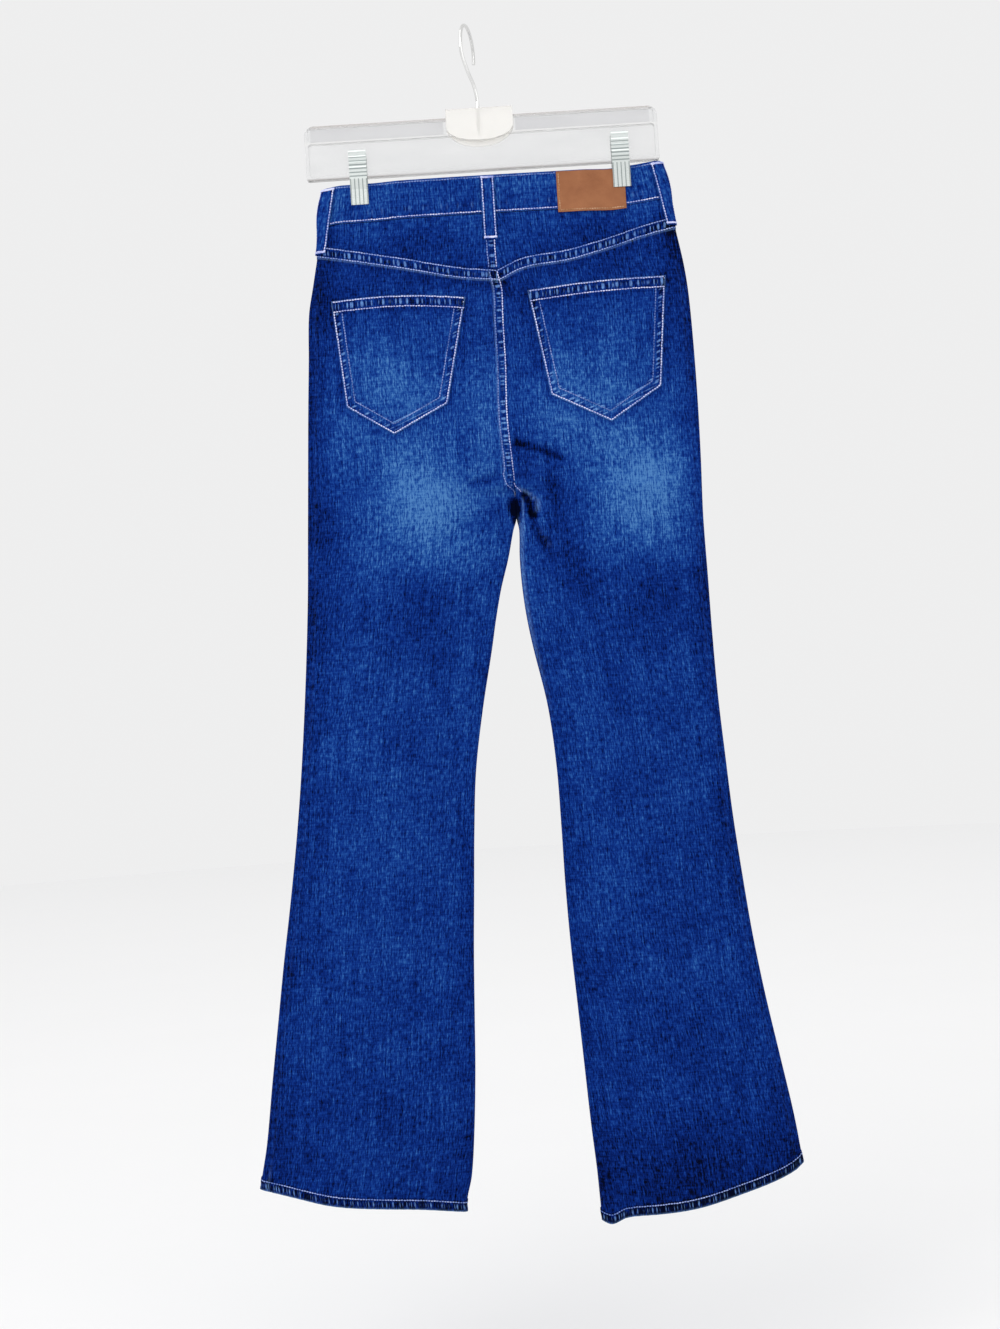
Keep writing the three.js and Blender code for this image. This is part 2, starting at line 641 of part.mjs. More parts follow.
function backPocket(pocket, leg) {
  const shares = [0, 0.08, 0.26, tipShareOf(pocket), 0.7, 0.92, 1];
  const height = pocket.topLeft[1] - pocket.tip[1];
  const hem = POCKET_HEM / height;
  const downs = [0, hem, hem + STEP / height, 0.28, 0.46, 0.64, 0.82, 1];
  const grid = downs.map((down) => shares.map((share) => {
    const [x, z] = pocketPlace(pocket, share, down);
    return clothPoint(leg, -1, x, z);
  }));
  const puff = (i, j) => 0.9 * Math.sin(Math.PI * downs[i]) * Math.sin(Math.PI * shares[j]);
  return slab(grid, {
    outer: (i, j) => SEAM_GAP + 1.2 + (i < 2 ? FELL : 0) + puff(i, j),
    inner: (i, j) => SEAM_GAP + puff(i, j) * 0.5,
    outward: new THREE.Vector3(0, -1, 0),
  });
}

// The leather patch spans the waistband and just passes its lower edge
function patch() {
  const downs = [0, 0.06, 0.5, 0.9, 1];
  const shares = Array.from({ length: 13 }, (_, n) => n / 12);
  const grid = downs.map((down) => shares.map((share) => {
    const x = mix(PATCH.left, PATCH.right, share);
    const z = mix(PATCH.top, PATCH.bottom, down) + bandShift(x);
    return clothPoint(1, -1, x, z);
  }));
  const lift = 0.8 + SEAM_GAP;
  return slab(grid, {
    outer: () => lift + PATCH.cloth, inner: () => lift, outward: new THREE.Vector3(0, -1, 0),
  });
}

// Distance out from the cloth at which a belt loop's inner face runs, by height
const LOOP_PATH = [
  { z: -174.5, off: 1.1 },
  { z: -180, off: 1.2 },
  { z: -190, off: 2.6 },
  { z: -204, off: 3 },
  { z: -214, off: 2.2 },
  { z: -221, off: 1.4 },
  { z: -234, off: 1.1 },
  { z: -247, off: 1.1 },
];

// A belt loop over the waistband. place(s, z) is the cloth's point at a distance s across the loop.
function beltLoop(place, outward, spans) {
  const shares = Array.from({ length: spans + 1 }, (_, n) => n / spans - 0.5);
  const grid = LOOP_PATH.map(({ z }) => shares.map((share) => place(share * LOOP_WIDTH, z)));
  return slab(grid, {
    outer: (i) => LOOP_PATH[i].off + LOOP_CLOTH,
    inner: (i) => LOOP_PATH[i].off,
    outward,
  });
}

const flatLoop = (face, centre) => beltLoop(
  (s, z) => {
    const x = centre + s;
    const height = z + bandShift(x);
    return clothPoint(x < centreX(height) ? -1 : 1, face, x, height);
  },
  new THREE.Vector3(0, face, 0),
  2,
);

// A loop that wraps the side: its middle lies a little behind the outseam
function sideLoop(leg, lean) {
  const quarter = FOLD_RADIUS * Math.PI / 2;
  const place = (s, z) => {
    const travel = s + mix(lean.top, lean.bottom, (LOOP_PATH[0].z - z) / 72);
    const face = travel >= 0 ? -1 : 1;
    const run = Math.abs(travel);
    const inset = run < quarter ? FOLD_RADIUS * (1 - Math.cos(run / FOLD_RADIUS)) : FOLD_RADIUS + run - quarter;
    const height = z + bandShift(sideX(leg, z) - leg * inset);
    return clothPoint(leg, face, sideX(leg, height) - leg * inset, height);
  };
  return beltLoop(place, new THREE.Vector3(leg, -1, 0), 8);
}

function fly() {
  const downs = Array.from({ length: 11 }, (_, n) => n / 10);
  const shares = [0, 0.25, 0.5, 0.75, 1];
  const top = BAND_BOTTOM - SEAM_GAP - 0.5;
  const grid = downs.map((down) => shares.map((share) => {
    const z = top - down * FLY.height;
    const narrowing = Math.sqrt(Math.max(0, 1 - Math.max(0, (down - 0.78) / 0.22) ** 2)) * 0.9 + 0.1;
    const x = centreX(z) - FLY.width * share * narrowing + 1;
    return clothPoint(x < centreX(z) ? -1 : 1, 1, x, z);
  }));
  return slab(grid, {
    outer: () => SEAM_GAP + 1.3 + FELL,
    inner: () => SEAM_GAP + FELL,
    outward: new THREE.Vector3(0, 1, 0),
  });
}

// Turned profile, closed on its axis, with the axis along +Z
function turned(profile, sides) {
  const points = profile.map(([radius, height]) => new THREE.Vector2(radius, height));
  const geometry = new THREE.LatheGeometry(points, sides);
  geometry.rotateX(Math.PI / 2);
  return geometry;
}

function waistButton() {
  const z = (BAND_TOP + BAND_BOTTOM) / 2;
  const x = centreX(z) + 3;
  const face = clothPoint(1, 1, x, z).y + 0.8 + SEAM_GAP + 0.3;
  const profile = [
    [0, 0], [5, 0], [6.5, 1.2], [BUTTON_RADIUS, 1.6], [BUTTON_RADIUS, 2.6], [7.6, 3.4],
    [6.4, 3.4], [5.8, 2.8], [0, 2.6],
  ];
  const button = node('waist_button', turned(profile, 20), copper);
  button.rotation.x = -Math.PI / 2;
  button.position.set(x, face, z);
  return button;
}

function outlineShape(points) {
  const shape = new THREE.Shape();
  points.forEach(([a, b], n) => (n ? shape.lineTo(a, b) : shape.moveTo(a, b)));
  return shape;
}

// Extrudes an outline drawn in x and z, centred on the middle plane
function uprightPlate(shape, depth) {
  const geometry = new THREE.ExtrudeGeometry(shape, { depth, bevelEnabled: false, curveSegments: 8 });
  geometry.rotateX(Math.PI / 2);
  geometry.translate(0, depth / 2, 0);
  return geometry;
}

function roundedBar(left, right, top, bottom, topRadius, lowRadius) {
  const shape = new THREE.Shape();
  shape.moveTo(left + lowRadius, bottom);
  shape.lineTo(right - lowRadius, bottom);
  shape.absarc(right - lowRadius, bottom + lowRadius, lowRadius, -Math.PI / 2, 0, false);
  shape.lineTo(right, top - topRadius);
  shape.absarc(right - topRadius, top - topRadius, topRadius, 0, Math.PI / 2, false);
  shape.lineTo(left + topRadius, top);
  shape.absarc(left + topRadius, top - topRadius, topRadius, Math.PI / 2, Math.PI, false);
  shape.lineTo(left, bottom + lowRadius);
  shape.absarc(left + lowRadius, bottom + lowRadius, lowRadius, Math.PI, 1.5 * Math.PI, false);
  return shape;
}

// The moulded bar: a thin web, a rim all round, one rib along it, and the boss that carries the hook
function hangerBar() {
  const plate = roundedBar(BAR_LEFT, BAR_RIGHT, BAR_TOP, BAR_BOTTOM, 11, 3);
  const pocket = (top, bottom) => uprightPlate(
    roundedBar(BAR_LEFT + RIB_HEIGHT, BAR_RIGHT - RIB_HEIGHT, top, bottom, 3, 3),
    RIB_DEPTH + 2,
  );
  const pockets = [
    pocket(BAR_TOP - RIB_HEIGHT / 2, BAR_RIB + 1),
    pocket(BAR_RIB - 1, BAR_BOTTOM + RIB_HEIGHT),
  ];
  let rim = solidOf(uprightPlate(plate, RIB_DEPTH));
  for (const hollow of pockets) rim = rim.subtract(solidOf(hollow));
  const web = solidOf(uprightPlate(roundedBar(BAR_LEFT + 1, BAR_RIGHT - 1, BAR_TOP - 1, BAR_BOTTOM + 1, 10, 3), WEB));
  const left = BOSS.x - BOSS.width / 2;
  const right = BOSS.x + BOSS.width / 2;
  const bossShape = outlineShape([[left, BOSS.top], [right, BOSS.top], [right, BOSS.top - 22]]);
  bossShape.bezierCurveTo(right - 4, BOSS.bottom, left + 4, BOSS.bottom, left, BOSS.top - 22);
  const boss = solidOf(uprightPlate(bossShape, BOSS.depth));
  const bore = new THREE.CylinderGeometry(WIRE / 2 + 0.35, WIRE / 2 + 0.35, 40, 16);
  bore.rotateX(Math.PI / 2);
  bore.translate(SHANK_X, 0, BOSS.top - 8);
  return geometryOf(rim.add(web).add(boss).subtract(solidOf(bore)));
}

function hook() {
  const turn = radians(HOOK_TURN);
  const centreZ = WIRE / 2 - HOOK_RADIUS;
  const arc = (angle) => {
    const run = HOOK_RADIUS * Math.cos(radians(angle));
    const up = HOOK_RADIUS * Math.sin(radians(angle));
    return new THREE.Vector3(run * Math.sin(turn), run * Math.cos(turn), centreZ + up);
  };
  const shank = [-121, -110, -98, -84].map((z) => new THREE.Vector3(SHANK_X, 0, z));
  const bend = [new THREE.Vector3(5.6, -5, -70), new THREE.Vector3(-1, -16, -54)];
  const crown = [200, 180, 160, 140, 120, 100, 80, 60, 40, 20, 0, -20].map(arc);
  const path = new THREE.CatmullRomCurve3([...shank, ...bend, ...crown], false, 'centripetal');
  const section = new THREE.Shape().absarc(0, 0, WIRE / 2, 0, 2 * Math.PI, false);
  return new THREE.ExtrudeGeometry(section, { steps: 40, curveSegments: 4, extrudePath: path });
}

// One jaw of a clip as a bent sheet: ribbed finger tab above, grooved grip below. Side -1 is the back.
function clipJaw(clip, side) {
  const sheet = 1.2;
  const grip = side < 0 ? clip.backGrip : clip.frontGrip;
  const knee = 6.2;
  const tab = 9;
  const inside = [[grip, clip.bottom], [grip, -178], [knee, -167], [knee, -159.5], [tab, clip.top]];
  const outside = [[tab + sheet, clip.top]];
  const ribs = 4;
  const tabFoot = -158;
  for (let n = 0; n < ribs; n++) {
    for (const [share, proud] of [[0.1, 0], [0.35, 0.8], [0.65, 0.8], [0.9, 0]]) {
      const t = (n + share) / ribs;
      outside.push([mix(tab, knee, t) + sheet + proud, mix(clip.top, tabFoot, t)]);
    }
  }
  outside.push([knee + sheet, -167.5], [grip + sheet + 0.4, -178.5], [grip + sheet + 0.4, clip.bottom + 1]);
  outside.push([grip + sheet - 0.4, clip.bottom]);
  const profile = outlineShape([...inside, ...outside].map(([y, z]) => [side * y, z]));
  const plate = new THREE.ExtrudeGeometry(profile, { depth: CLIP_WIDTH, bevelEnabled: false });
  // the outline is drawn in y and z, and runs along x
  const turnUp = new THREE.Matrix4().makeBasis(
    new THREE.Vector3(0, 1, 0), new THREE.Vector3(0, 0, 1), new THREE.Vector3(1, 0, 0),
  );
  plate.applyMatrix4(turnUp);
  plate.translate(clip.x - CLIP_WIDTH / 2, 0, 0);
  let jaw = solidOf(plate);
  for (const across of [-5, 0, 5]) {
    const groove = new THREE.BoxGeometry(1.8, 1.4, 18);
    groove.translate(clip.x + across, side * (grip + sheet + 0.4 + 0.2), clip.bottom + 9.5);
    jaw = jaw.subtract(solidOf(groove));
  }
  return geometryOf(jaw);
}

// The sheet spring that grips the bar's bottom rim and carries both jaws
function clipSpring(clip) {
  const rim = RIB_DEPTH / 2 + 0.35;
  const sheet = 1;
  const lip = WEB / 2 + 0.4;
  const rimTop = BAR_BOTTOM + RIB_HEIGHT + 0.35;
  const foot = BAR_BOTTOM - 0.35;
  const half = [
    [lip, rimTop + sheet], [rim + sheet, rimTop + sheet], [rim + sheet, foot - sheet],
  ];
  const inner = [[rim, foot], [rim, rimTop], [lip, rimTop]];
  const mirror = (points) => points.map(([y, z]) => [-y, z]).reverse();
  const profile = outlineShape([...half, ...mirror(half), ...mirror(inner), ...inner]);
  const band = new THREE.ExtrudeGeometry(profile, { depth: 12, bevelEnabled: false });
  band.applyMatrix4(new THREE.Matrix4().makeBasis(
    new THREE.Vector3(0, 1, 0), new THREE.Vector3(0, 0, 1), new THREE.Vector3(1, 0, 0),
  ));
  band.translate(clip.x - 6, 0, 0);
  return band;
}

const jeans = new THREE.Group();
for (const leg of [-1, 1]) {
  const side = legName(leg);
  jeans.add(node(`back_panel_${side}`, backPanel(leg), denim));
  jeans.add(node(`front_panel_${side}`, frontPanel(leg), denim));
  jeans.add(node(`yoke_${side}`, yoke(leg), denim));
  jeans.add(node(`pocket_facing_${side}`, pocketFacing(leg), denim));
}
jeans.add(node('waistband', waistband(), denim));
POCKETS.forEach((pocket, n) => {
  jeans.add(node(`back_pocket_${pocket.name}`, backPocket(pocket, n ? 1 : -1), denim));
});
jeans.add(node('fly', fly(), denim));
jeans.add(node('patch', patch(), leather));
jeans.add(node('belt_loop_back', flatLoop(-1, 13.5), denim));
jeans.add(node('belt_loop_side_left', sideLoop(-1, { top: 9, bottom: 4.5 }), denim));
jeans.add(node('belt_loop_side_right', sideLoop(1, { top: 8, bottom: 5 }), denim));
jeans.add(node('belt_loop_front_left', flatLoop(1, -62), denim));
jeans.add(node('belt_loop_front_right', flatLoop(1, 98), denim));
jeans.add(waistButton());

const hanger = new THREE.Group();
hanger.add(node('hanger_bar', hangerBar(), clearPlastic));
hanger.add(node('hanger_hook', hook(), steel));
for (const clip of CLIPS) {
  hanger.add(node(`clip_${clip.name}_back`, clipJaw(clip, -1), steel));
  hanger.add(node(`clip_${clip.name}_front`, clipJaw(clip, 1), steel));
  hanger.add(node(`clip_${clip.name}_spring`, clipSpring(clip), steel));
}

const part = new THREE.Group();
part.add(jeans, hanger);
export default part;
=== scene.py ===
# Flared jeans hung by the waistband from a clear clip hanger, dressed for the camera.
# The cloth is drawn in millimetres and set down in metres. +X is right as the back is looked at, -Y is the back.
from math import cos, pi, radians, sin
import bpy
import numpy as np
from mathutils import Matrix, Vector


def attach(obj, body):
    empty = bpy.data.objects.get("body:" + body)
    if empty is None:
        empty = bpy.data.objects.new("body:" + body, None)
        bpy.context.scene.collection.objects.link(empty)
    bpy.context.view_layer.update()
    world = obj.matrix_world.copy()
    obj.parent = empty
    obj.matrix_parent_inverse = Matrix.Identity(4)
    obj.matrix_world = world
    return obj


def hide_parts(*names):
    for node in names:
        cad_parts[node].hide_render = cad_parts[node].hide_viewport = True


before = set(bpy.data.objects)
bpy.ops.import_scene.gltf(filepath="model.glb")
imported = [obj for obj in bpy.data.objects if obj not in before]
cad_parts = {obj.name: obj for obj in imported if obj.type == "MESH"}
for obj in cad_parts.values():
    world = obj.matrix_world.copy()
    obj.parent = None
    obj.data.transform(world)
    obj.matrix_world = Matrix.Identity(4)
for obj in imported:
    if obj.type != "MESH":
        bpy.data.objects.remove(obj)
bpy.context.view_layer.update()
bpy.context.scene.view_settings.view_transform = "Standard"
mm = 0.001
rng = np.random.default_rng(27)


# The garment's measured lines, the same as the solids have
sideLines = [  # height, left edge, right edge
    (-160, -173, 212), (-172.5, -175, 215), (-217, -181.5, 222), (-244, -185, 226), (-285, -193.5, 233),
    (-319, -200.5, 236.5), (-370, -204, 238.5), (-439, -209, 239.5), (-508, -213.5, 239), (-577, -218, 237.5),
    (-646, -222.5, 238.5), (-715, -228.5, 239.5), (-784, -235.5, 241.5), (-853, -243.5, 245.5), (-922, -253, 250),
    (-991, -264, 256.5), (-1060, -276, 264), (-1129, -287, 274), (-1198, -298, 286), (-1267, -308.5, 298),
    (-1317, -319, 304.5), (-1375, -327, 311),
]
inseamLines = [  # height, left leg's inner edge, right leg's inner edge
    (-536, 22.9, 23.1), (-546, 23.05, 22.95), (-567, 22.95, 23.05), (-580, 18.6, 25.2), (-612, 10.8, 23.8),
    (-646, 0.5, 24.6), (-680, -7.5, 27.5), (-715, -14.5, 32.7), (-784, -29.5, 45.3), (-853, -41.5, 51),
    (-922, -47.8, 52.2),
    (-991, -52.4, 52.6), (-1060, -57, 54.5), (-1129, -60.5, 58), (-1198, -64, 61.4), (-1267, -69.5, 64.9),
    (-1317, -75.5, 68.3), (-1345, -82.5, 69.5), (-1375, -84, 70.6),
]
centreSeam = [
    (-160, 17.5), (-217, 17.5), (-282, 18.5), (-306, 22.5), (-340, 21.8), (-390, 21.5), (-450, 19.5),
    (-505, 22), (-536, 23),
]
fullness = [
    (-160, 10), (-217, 11), (-285, 15), (-350, 20), (-450, 24), (-536, 22), (-650, 18), (-800, 15.5),
    (-1000, 15.5), (-1200, 19), (-1375, 25),
]
bandRise = [(-192, -4), (-178, -3.5), (-155, 0), (150, 0), (185, 2.5), (212, 5), (235, 5)]
yokeSeams = {
    -1: [(0, -241), (0.25, -250.5), (0.5, -262), (0.8, -276.5), (1, -282)],
    1: [(0, -232.5), (0.2, -241), (0.35, -250), (0.6, -263), (0.85, -269.5), (1, -282)],
}
hems = {
    -1: [(0, -1317), (0.19, -1327.5), (0.37, -1337), (0.6, -1344.5), (0.8, -1349.5), (1, -1357.5)],
    1: [(0, -1325), (0.06, -1334), (0.19, -1345), (0.35, -1355), (0.52, -1363.5), (0.73, -1369.5), (0.88, -1373.5),
        (0.95, -1381), (1, -1377)],
}
flutes = [  # leg, place across it, width, from, to, sway
    (-1, 0.3, 0.17, -800, -1340, -4), (-1, 0.68, 0.16, -820, -1340, 3.5),
    (1, 0.28, 0.15, -800, -1340, 4), (1, 0.66, 0.17, -740, -1340, -5),
]
creases = [  # face, x1, z1, x2, z2, width, depth
    (-1, 27, -482, 80, -503, 7, 3.5), (-1, 64, -520, 69, -556, 8, 3), (-1, 40, -572, 56, -604, 7, 3),
    (-1, -28, -527, 6, -520, 8, 3), (-1, -60, -585, -8, -560, 10, 2.5), (1, 30, -500, 92, -470, 9, 3.5),
    (1, 34, -530, 88, -516, 8, 3), (1, -66, -478, 10, -505, 9, 3.5), (1, -52, -548, 8, -532, 8, 3),
    (1, 44, -596, 78, -570, 8, 2.5),
]
softFolds = [  # the finer ones: face, x1, z1, x2, z2, width, depth
    (-1, 31, -520, 46, -512, 3, 1.2), (-1, 34, -533, 50, -545, 3.5, -1.6),
    (-1, -3, -545, 8, -585, 5, 1.6), (-1, -34, -640, -14, -760, 9, 1.4),
    (-1, -48, -520, -8, -508, 4, 0.8), (-1, 120, -560, 150, -600, 10, 0.8), (-1, -150, -560, -110, -610, 12, 0.8),
    (-1, -90, -700, -60, -820, 12, 1.0), (-1, 110, -720, 150, -850, 12, 1.0),
    (-1, -170, -900, -150, -1000, 12, 0.9), (-1, 190, -900, 200, -1010, 12, 0.9),
    (-1, -120, -246, -60, -252, 7, 0.5), (-1, 90, -250, 150, -244, 7, 0.5),
    (1, -60, -700, -30, -800, 12, 1.0), (1, 60, -700, 120, -830, 12, 1.0), (1, -40, -515, 4, -506, 4, 0.9),
    (1, 36, -545, 70, -538, 4, 0.9), (1, -150, -880, -120, -990, 12, 0.9), (1, 150, -880, 190, -1000, 12, 0.9),
]
clipX = {"left": -133.5, "right": 168}
garment = {
    "wall": 1.4, "softEdge": 0.35, "seamGap": 0.12, "halfGap": 0.15, "fold": 5, "fell": 0.7, "pinch": 2.9,
    "bandTop": -172.5, "bandBottom": -216.5, "crotch": -536, "crotchRound": 72, "hemBand": 12.5,
}
quarterFold = garment["fold"] * pi / 2


def along(rows, at, column=1):  # a smooth curve through the rows of a table, read at one height or share
    keys = np.array([row[0] for row in rows], float)
    values = np.array([row[column] for row in rows], float)
    at = np.asarray(at, float)
    if keys[0] > keys[-1]:
        keys, at = -keys, -at
    slopes = np.empty(len(keys))
    slopes[1:-1] = (values[2:] - values[:-2]) / (keys[2:] - keys[:-2])
    slopes[0] = (values[1] - values[0]) / (keys[1] - keys[0])
    slopes[-1] = (values[-1] - values[-2]) / (keys[-1] - keys[-2])
    n = np.clip(np.searchsorted(keys, at) - 1, 0, len(keys) - 2)
    span = keys[n + 1] - keys[n]
    t = np.clip((at - keys[n]) / span, 0, 1)
    return ((2 * t**3 - 3 * t**2 + 1) * values[n] + (t**3 - 2 * t**2 + t) * span * slopes[n]
            + (3 * t**2 - 2 * t**3) * values[n + 1] + (t**3 - t**2) * span * slopes[n + 1])


def ease(value, low, high):
    t = np.clip((np.asarray(value, float) - low) / (high - low), 0, 1)
    return t * t * (3 - 2 * t)


def blend(a, b, share):
    return a + (b - a) * share


def bell(distance, half):  # 1 at nought, fading out to both sides
    return np.exp(-((distance / half) ** 2))


def unit(vectors):
    return vectors / np.maximum(np.linalg.norm(vectors, axis=-1, keepdims=True), 1e-9)


def offRun(a, b, x, z):  # how far along the run from a to b a point lies, and how far off it
    dx, dz = b[0] - a[0], b[1] - a[1]
    t = np.clip(((x - a[0]) * dx + (z - a[1]) * dz) / (dx * dx + dz * dz), 0, 1)
    return t, np.hypot(x - a[0] - t * dx, z - a[1] - t * dz)


def outerX(leg, z):
    return along(sideLines, z, 1 if leg < 0 else 2)


def centreX(z):
    return along(centreSeam, z)


def innerX(leg, z):
    seat = centreX(z) + leg * garment["seamGap"] / 2
    return np.where(np.asarray(z) >= garment["crotch"], seat, along(inseamLines, z, 1 if leg < 0 else 2))


def roundEdge(distance):
    d = np.clip(distance, 0, garment["fold"])
    return np.sqrt(garment["fold"] ** 2 - (garment["fold"] - d) ** 2)


def creaseDepth(table, face, x, z):  # how far the folds of a table press the cloth in
    total = np.zeros(np.broadcast(x, z).shape)
    for side, x1, z1, x2, z2, width, depth in table:
        if side == face:
            t, away = offRun((x1, z1), (x2, z2), x, z)
            total += depth * bell(away, width) * (0.45 + 0.55 * np.sin(pi * t))
    return total


hollowsAndPaintedShade = [  # at the back, where the legs part: line, half width, depth, and how much painted shade darkens the cloth
    ([(22, -550.5), (22.4, -556)], 7.0, 13, 0.95), ([(22.4, -556), (22.8, -570)], 4.4, 9, 0.90),
    ([(34, -541), (39.5, -550), (41, -563)], 4.8, 7, 0.72),
    ([(41.5, -562), (43.5, -578), (56, -602)], 3.4, 3.5, 0.42),
    ([(27, -481), (60, -492), (80, -503)], 3.6, 2.5, 0.34),
    ([(31, -488), (40, -505), (38, -520)], 9.0, 0.6, 0.14),
    ([(62, -494), (68, -540), (66, -575)], 8.0, 2.0, 0.18),
    ([(-26, -525), (2, -519)], 4.0, 1.8, 0.22),
    ([(4, -545), (6, -590)], 6.0, 1.2, 0.14),
    ([(14, -286), (24, -296), (30, -312)], 5.0, 0.8, 0.26),
    ([(-60, -290), (10, -300)], 9.0, 0.5, 0.12),
]
paleFoldWearAndHighlight = [  # pale fold edges, partly rubbed white and partly a painted highlight on the crests: line, half width, how far the white shows
    ([(25.8, -532.5), (36, -537), (47.5, -548)], 1.3, 0.50),
    ([(47.5, -548), (48.5, -553), (46.5, -564)], 1.1, 0.34),
    ([(31.5, -544), (31, -560), (30, -583)], 1.3, 0.26),
    ([(45, -560), (47, -576), (60, -600)], 1.0, 0.09),
]


def nearLine(line, x, z, halfWidth):  # 1 on the line, fading out to both sides
    best = np.zeros(np.broadcast(x, z).shape)
    for a, b in zip(line, line[1:]):
        best = np.maximum(best, np.exp(-((offRun(a, b, x, z)[1] / halfWidth) ** 3)))
    return best


def clothPoint(leg, face, x, z):  # the cloth's outer face on one leg's half. Face -1 is the back.
    x, z = np.broadcast_arrays(np.asarray(x, float), np.asarray(z, float))
    outer, inner = outerX(leg, z), innerX(leg, z)
    across = np.clip((x - outer) / (inner - outer), 0, 1)
    up = np.clip((z - garment["crotch"]) / garment["crotchRound"], 0, 1)
    joined = np.sqrt(1 - (1 - up) ** 2)
    rim = np.minimum(roundEdge(abs(x - outer)), blend(roundEdge(abs(inner - x)), garment["fold"], joined))
    crown = blend(np.sin(pi * across), np.sin(pi * across / 2), joined)
    depth = rim + (along(fullness, z) - garment["fold"]) * crown
    room = np.sin(pi * np.minimum(across, np.where(joined > 0, across, 1 - across))) ** 0.5
    depth = depth - (creaseDepth(creases, face, x, z) + creaseDepth(softFolds, face, x, z)) * room
    nearClip = np.minimum(abs(x - clipX["left"]), abs(x - clipX["right"]))
    pinch = (1 - ease(-z, 216.5, 294.5)) * (1 - ease(nearClip, 13, 48))
    depth = blend(depth, np.minimum(depth, garment["pinch"]), pinch)
    if face < 0:
        for line, halfWidth, deep, _ in hollowsAndPaintedShade:
            depth = depth - deep * nearLine(line, x, z, halfWidth)
    sway = np.zeros(x.shape)
    for side, at, width, start, end, amount in flutes:
        if side == leg:
            sway += amount * ease(-z, -start, -end) * bell(across - at, width)
    return np.stack([x, sway * np.sin(pi * across) + face * np.maximum(depth, garment["halfGap"]), z], -1)


def insetOf(arc):  # how far inside the edge a point lies, by its distance round the fold
    arc = np.asarray(arc, float)
    onBend = garment["fold"] * (1 - np.cos(np.minimum(arc, quarterFold) / garment["fold"]))
    return np.where(arc < quarterFold, onBend, garment["fold"] + arc - quarterFold)


def arcOf(inset):
    inset = np.maximum(np.asarray(inset, float), 0)
    angle = np.arccos(np.clip(1 - inset / garment["fold"], -1, 1))
    return np.where(inset < garment["fold"], garment["fold"] * angle, quarterFold + inset - garment["fold"])


def legWidth(leg, z):  # round both folds
    return abs(innerX(leg, z) - outerX(leg, z)) - 2 * garment["fold"] + 2 * quarterFold


def xAt(leg, arc, z):
    width = legWidth(leg, z)
    outer, inner = outerX(leg, z), innerX(leg, z)
    return np.where(arc < width / 2, outer - leg * insetOf(arc), inner + leg * insetOf(width - arc))


def arcAt(leg, x, z):
    width = legWidth(leg, z)
    fromOuter, fromInner = abs(x - outerX(leg, z)), abs(innerX(leg, z) - x)
    return np.where(fromOuter < fromInner, arcOf(fromOuter), width - arcOf(fromInner))


def skin(leg, face, arc, z):  # a point of the cloth and the way it faces
    def at(a, h):
        return clothPoint(leg, face, xAt(leg, a, h), h)
    step = 0.4
    width = legWidth(leg, z)
    low, high = np.maximum(arc - step, 0), np.minimum(arc + step, width)
    over = at(high, z) - at(low, z)
    lift = at(arc, z + step) - at(arc, z - step)
    return at(arc, z), unit(np.cross(over, lift) * leg * face)


def skinX(face, x, z):  # the same by x, on whichever leg the point is
    onLeft = (np.asarray(x) < centreX(z))[..., None]
    left, right = (skin(leg, face, arcAt(leg, x, z), np.asarray(z, float)) for leg in (-1, 1))
    return np.where(onLeft, left[0], right[0]), np.where(onLeft, left[1], right[1])


def share(leg, x, z):  # from the outseam at 0 to the seat seam or inseam at 1
    return np.clip((x - outerX(leg, z)) / (innerX(leg, z) - outerX(leg, z)), 0, 1)


# How the indigo has washed down, with painted shade in the folds and hollow places and along the outseams, and a
# painted highlight on the fine ridges
washByHeight = [
    (-172, 0.56), (-214, 0.52), (-240, 0.38), (-290, 0.37), (-350, 0.44), (-430, 0.50), (-520, 0.52),
    (-600, 0.50), (-700, 0.46), (-850, 0.46), (-1000, 0.42), (-1150, 0.38), (-1300, 0.34), (-1375, 0.24),
]
washSpots = [  # face, x, z, half width, half height, amount
    (-1, -80, -552, 64, 60, 0.46), (-1, -95, -440, 72, 66, 0.22), (-1, -6, -430, 15, 70, 0.16),
    (-1, 164, -540, 58, 66, 0.48), (-1, 120, -440, 62, 66, 0.18), (-1, 76, -430, 24, 50, 0.16),
    # the darker spot at x 84 below the right seat is painted shade of a fold
    (-1, 84, -590, 22, 84, -0.24), (-1, -30, -700, 26, 110, 0.14), (-1, -100, -380, 60, 60, 0.06),
    (-1, 24, -505, 12, 30, -0.16), (-1, 215, -560, 24, 70, 0.10), (-1, -190, -560, 26, 60, -0.12),
    (1, -95, -640, 62, 170, 0.42), (1, 120, -640, 62, 170, 0.42), (1, -130, -900, 60, 120, 0.12),
    (1, 140, -900, 60, 120, 0.12), (-1, -150, -1020, 70, 160, 0.05), (-1, 160, -1000, 70, 160, -0.02),
    (-1, 190, -1340, 120, 80, -0.20), (1, 190, -1340, 120, 80, -0.16),
]


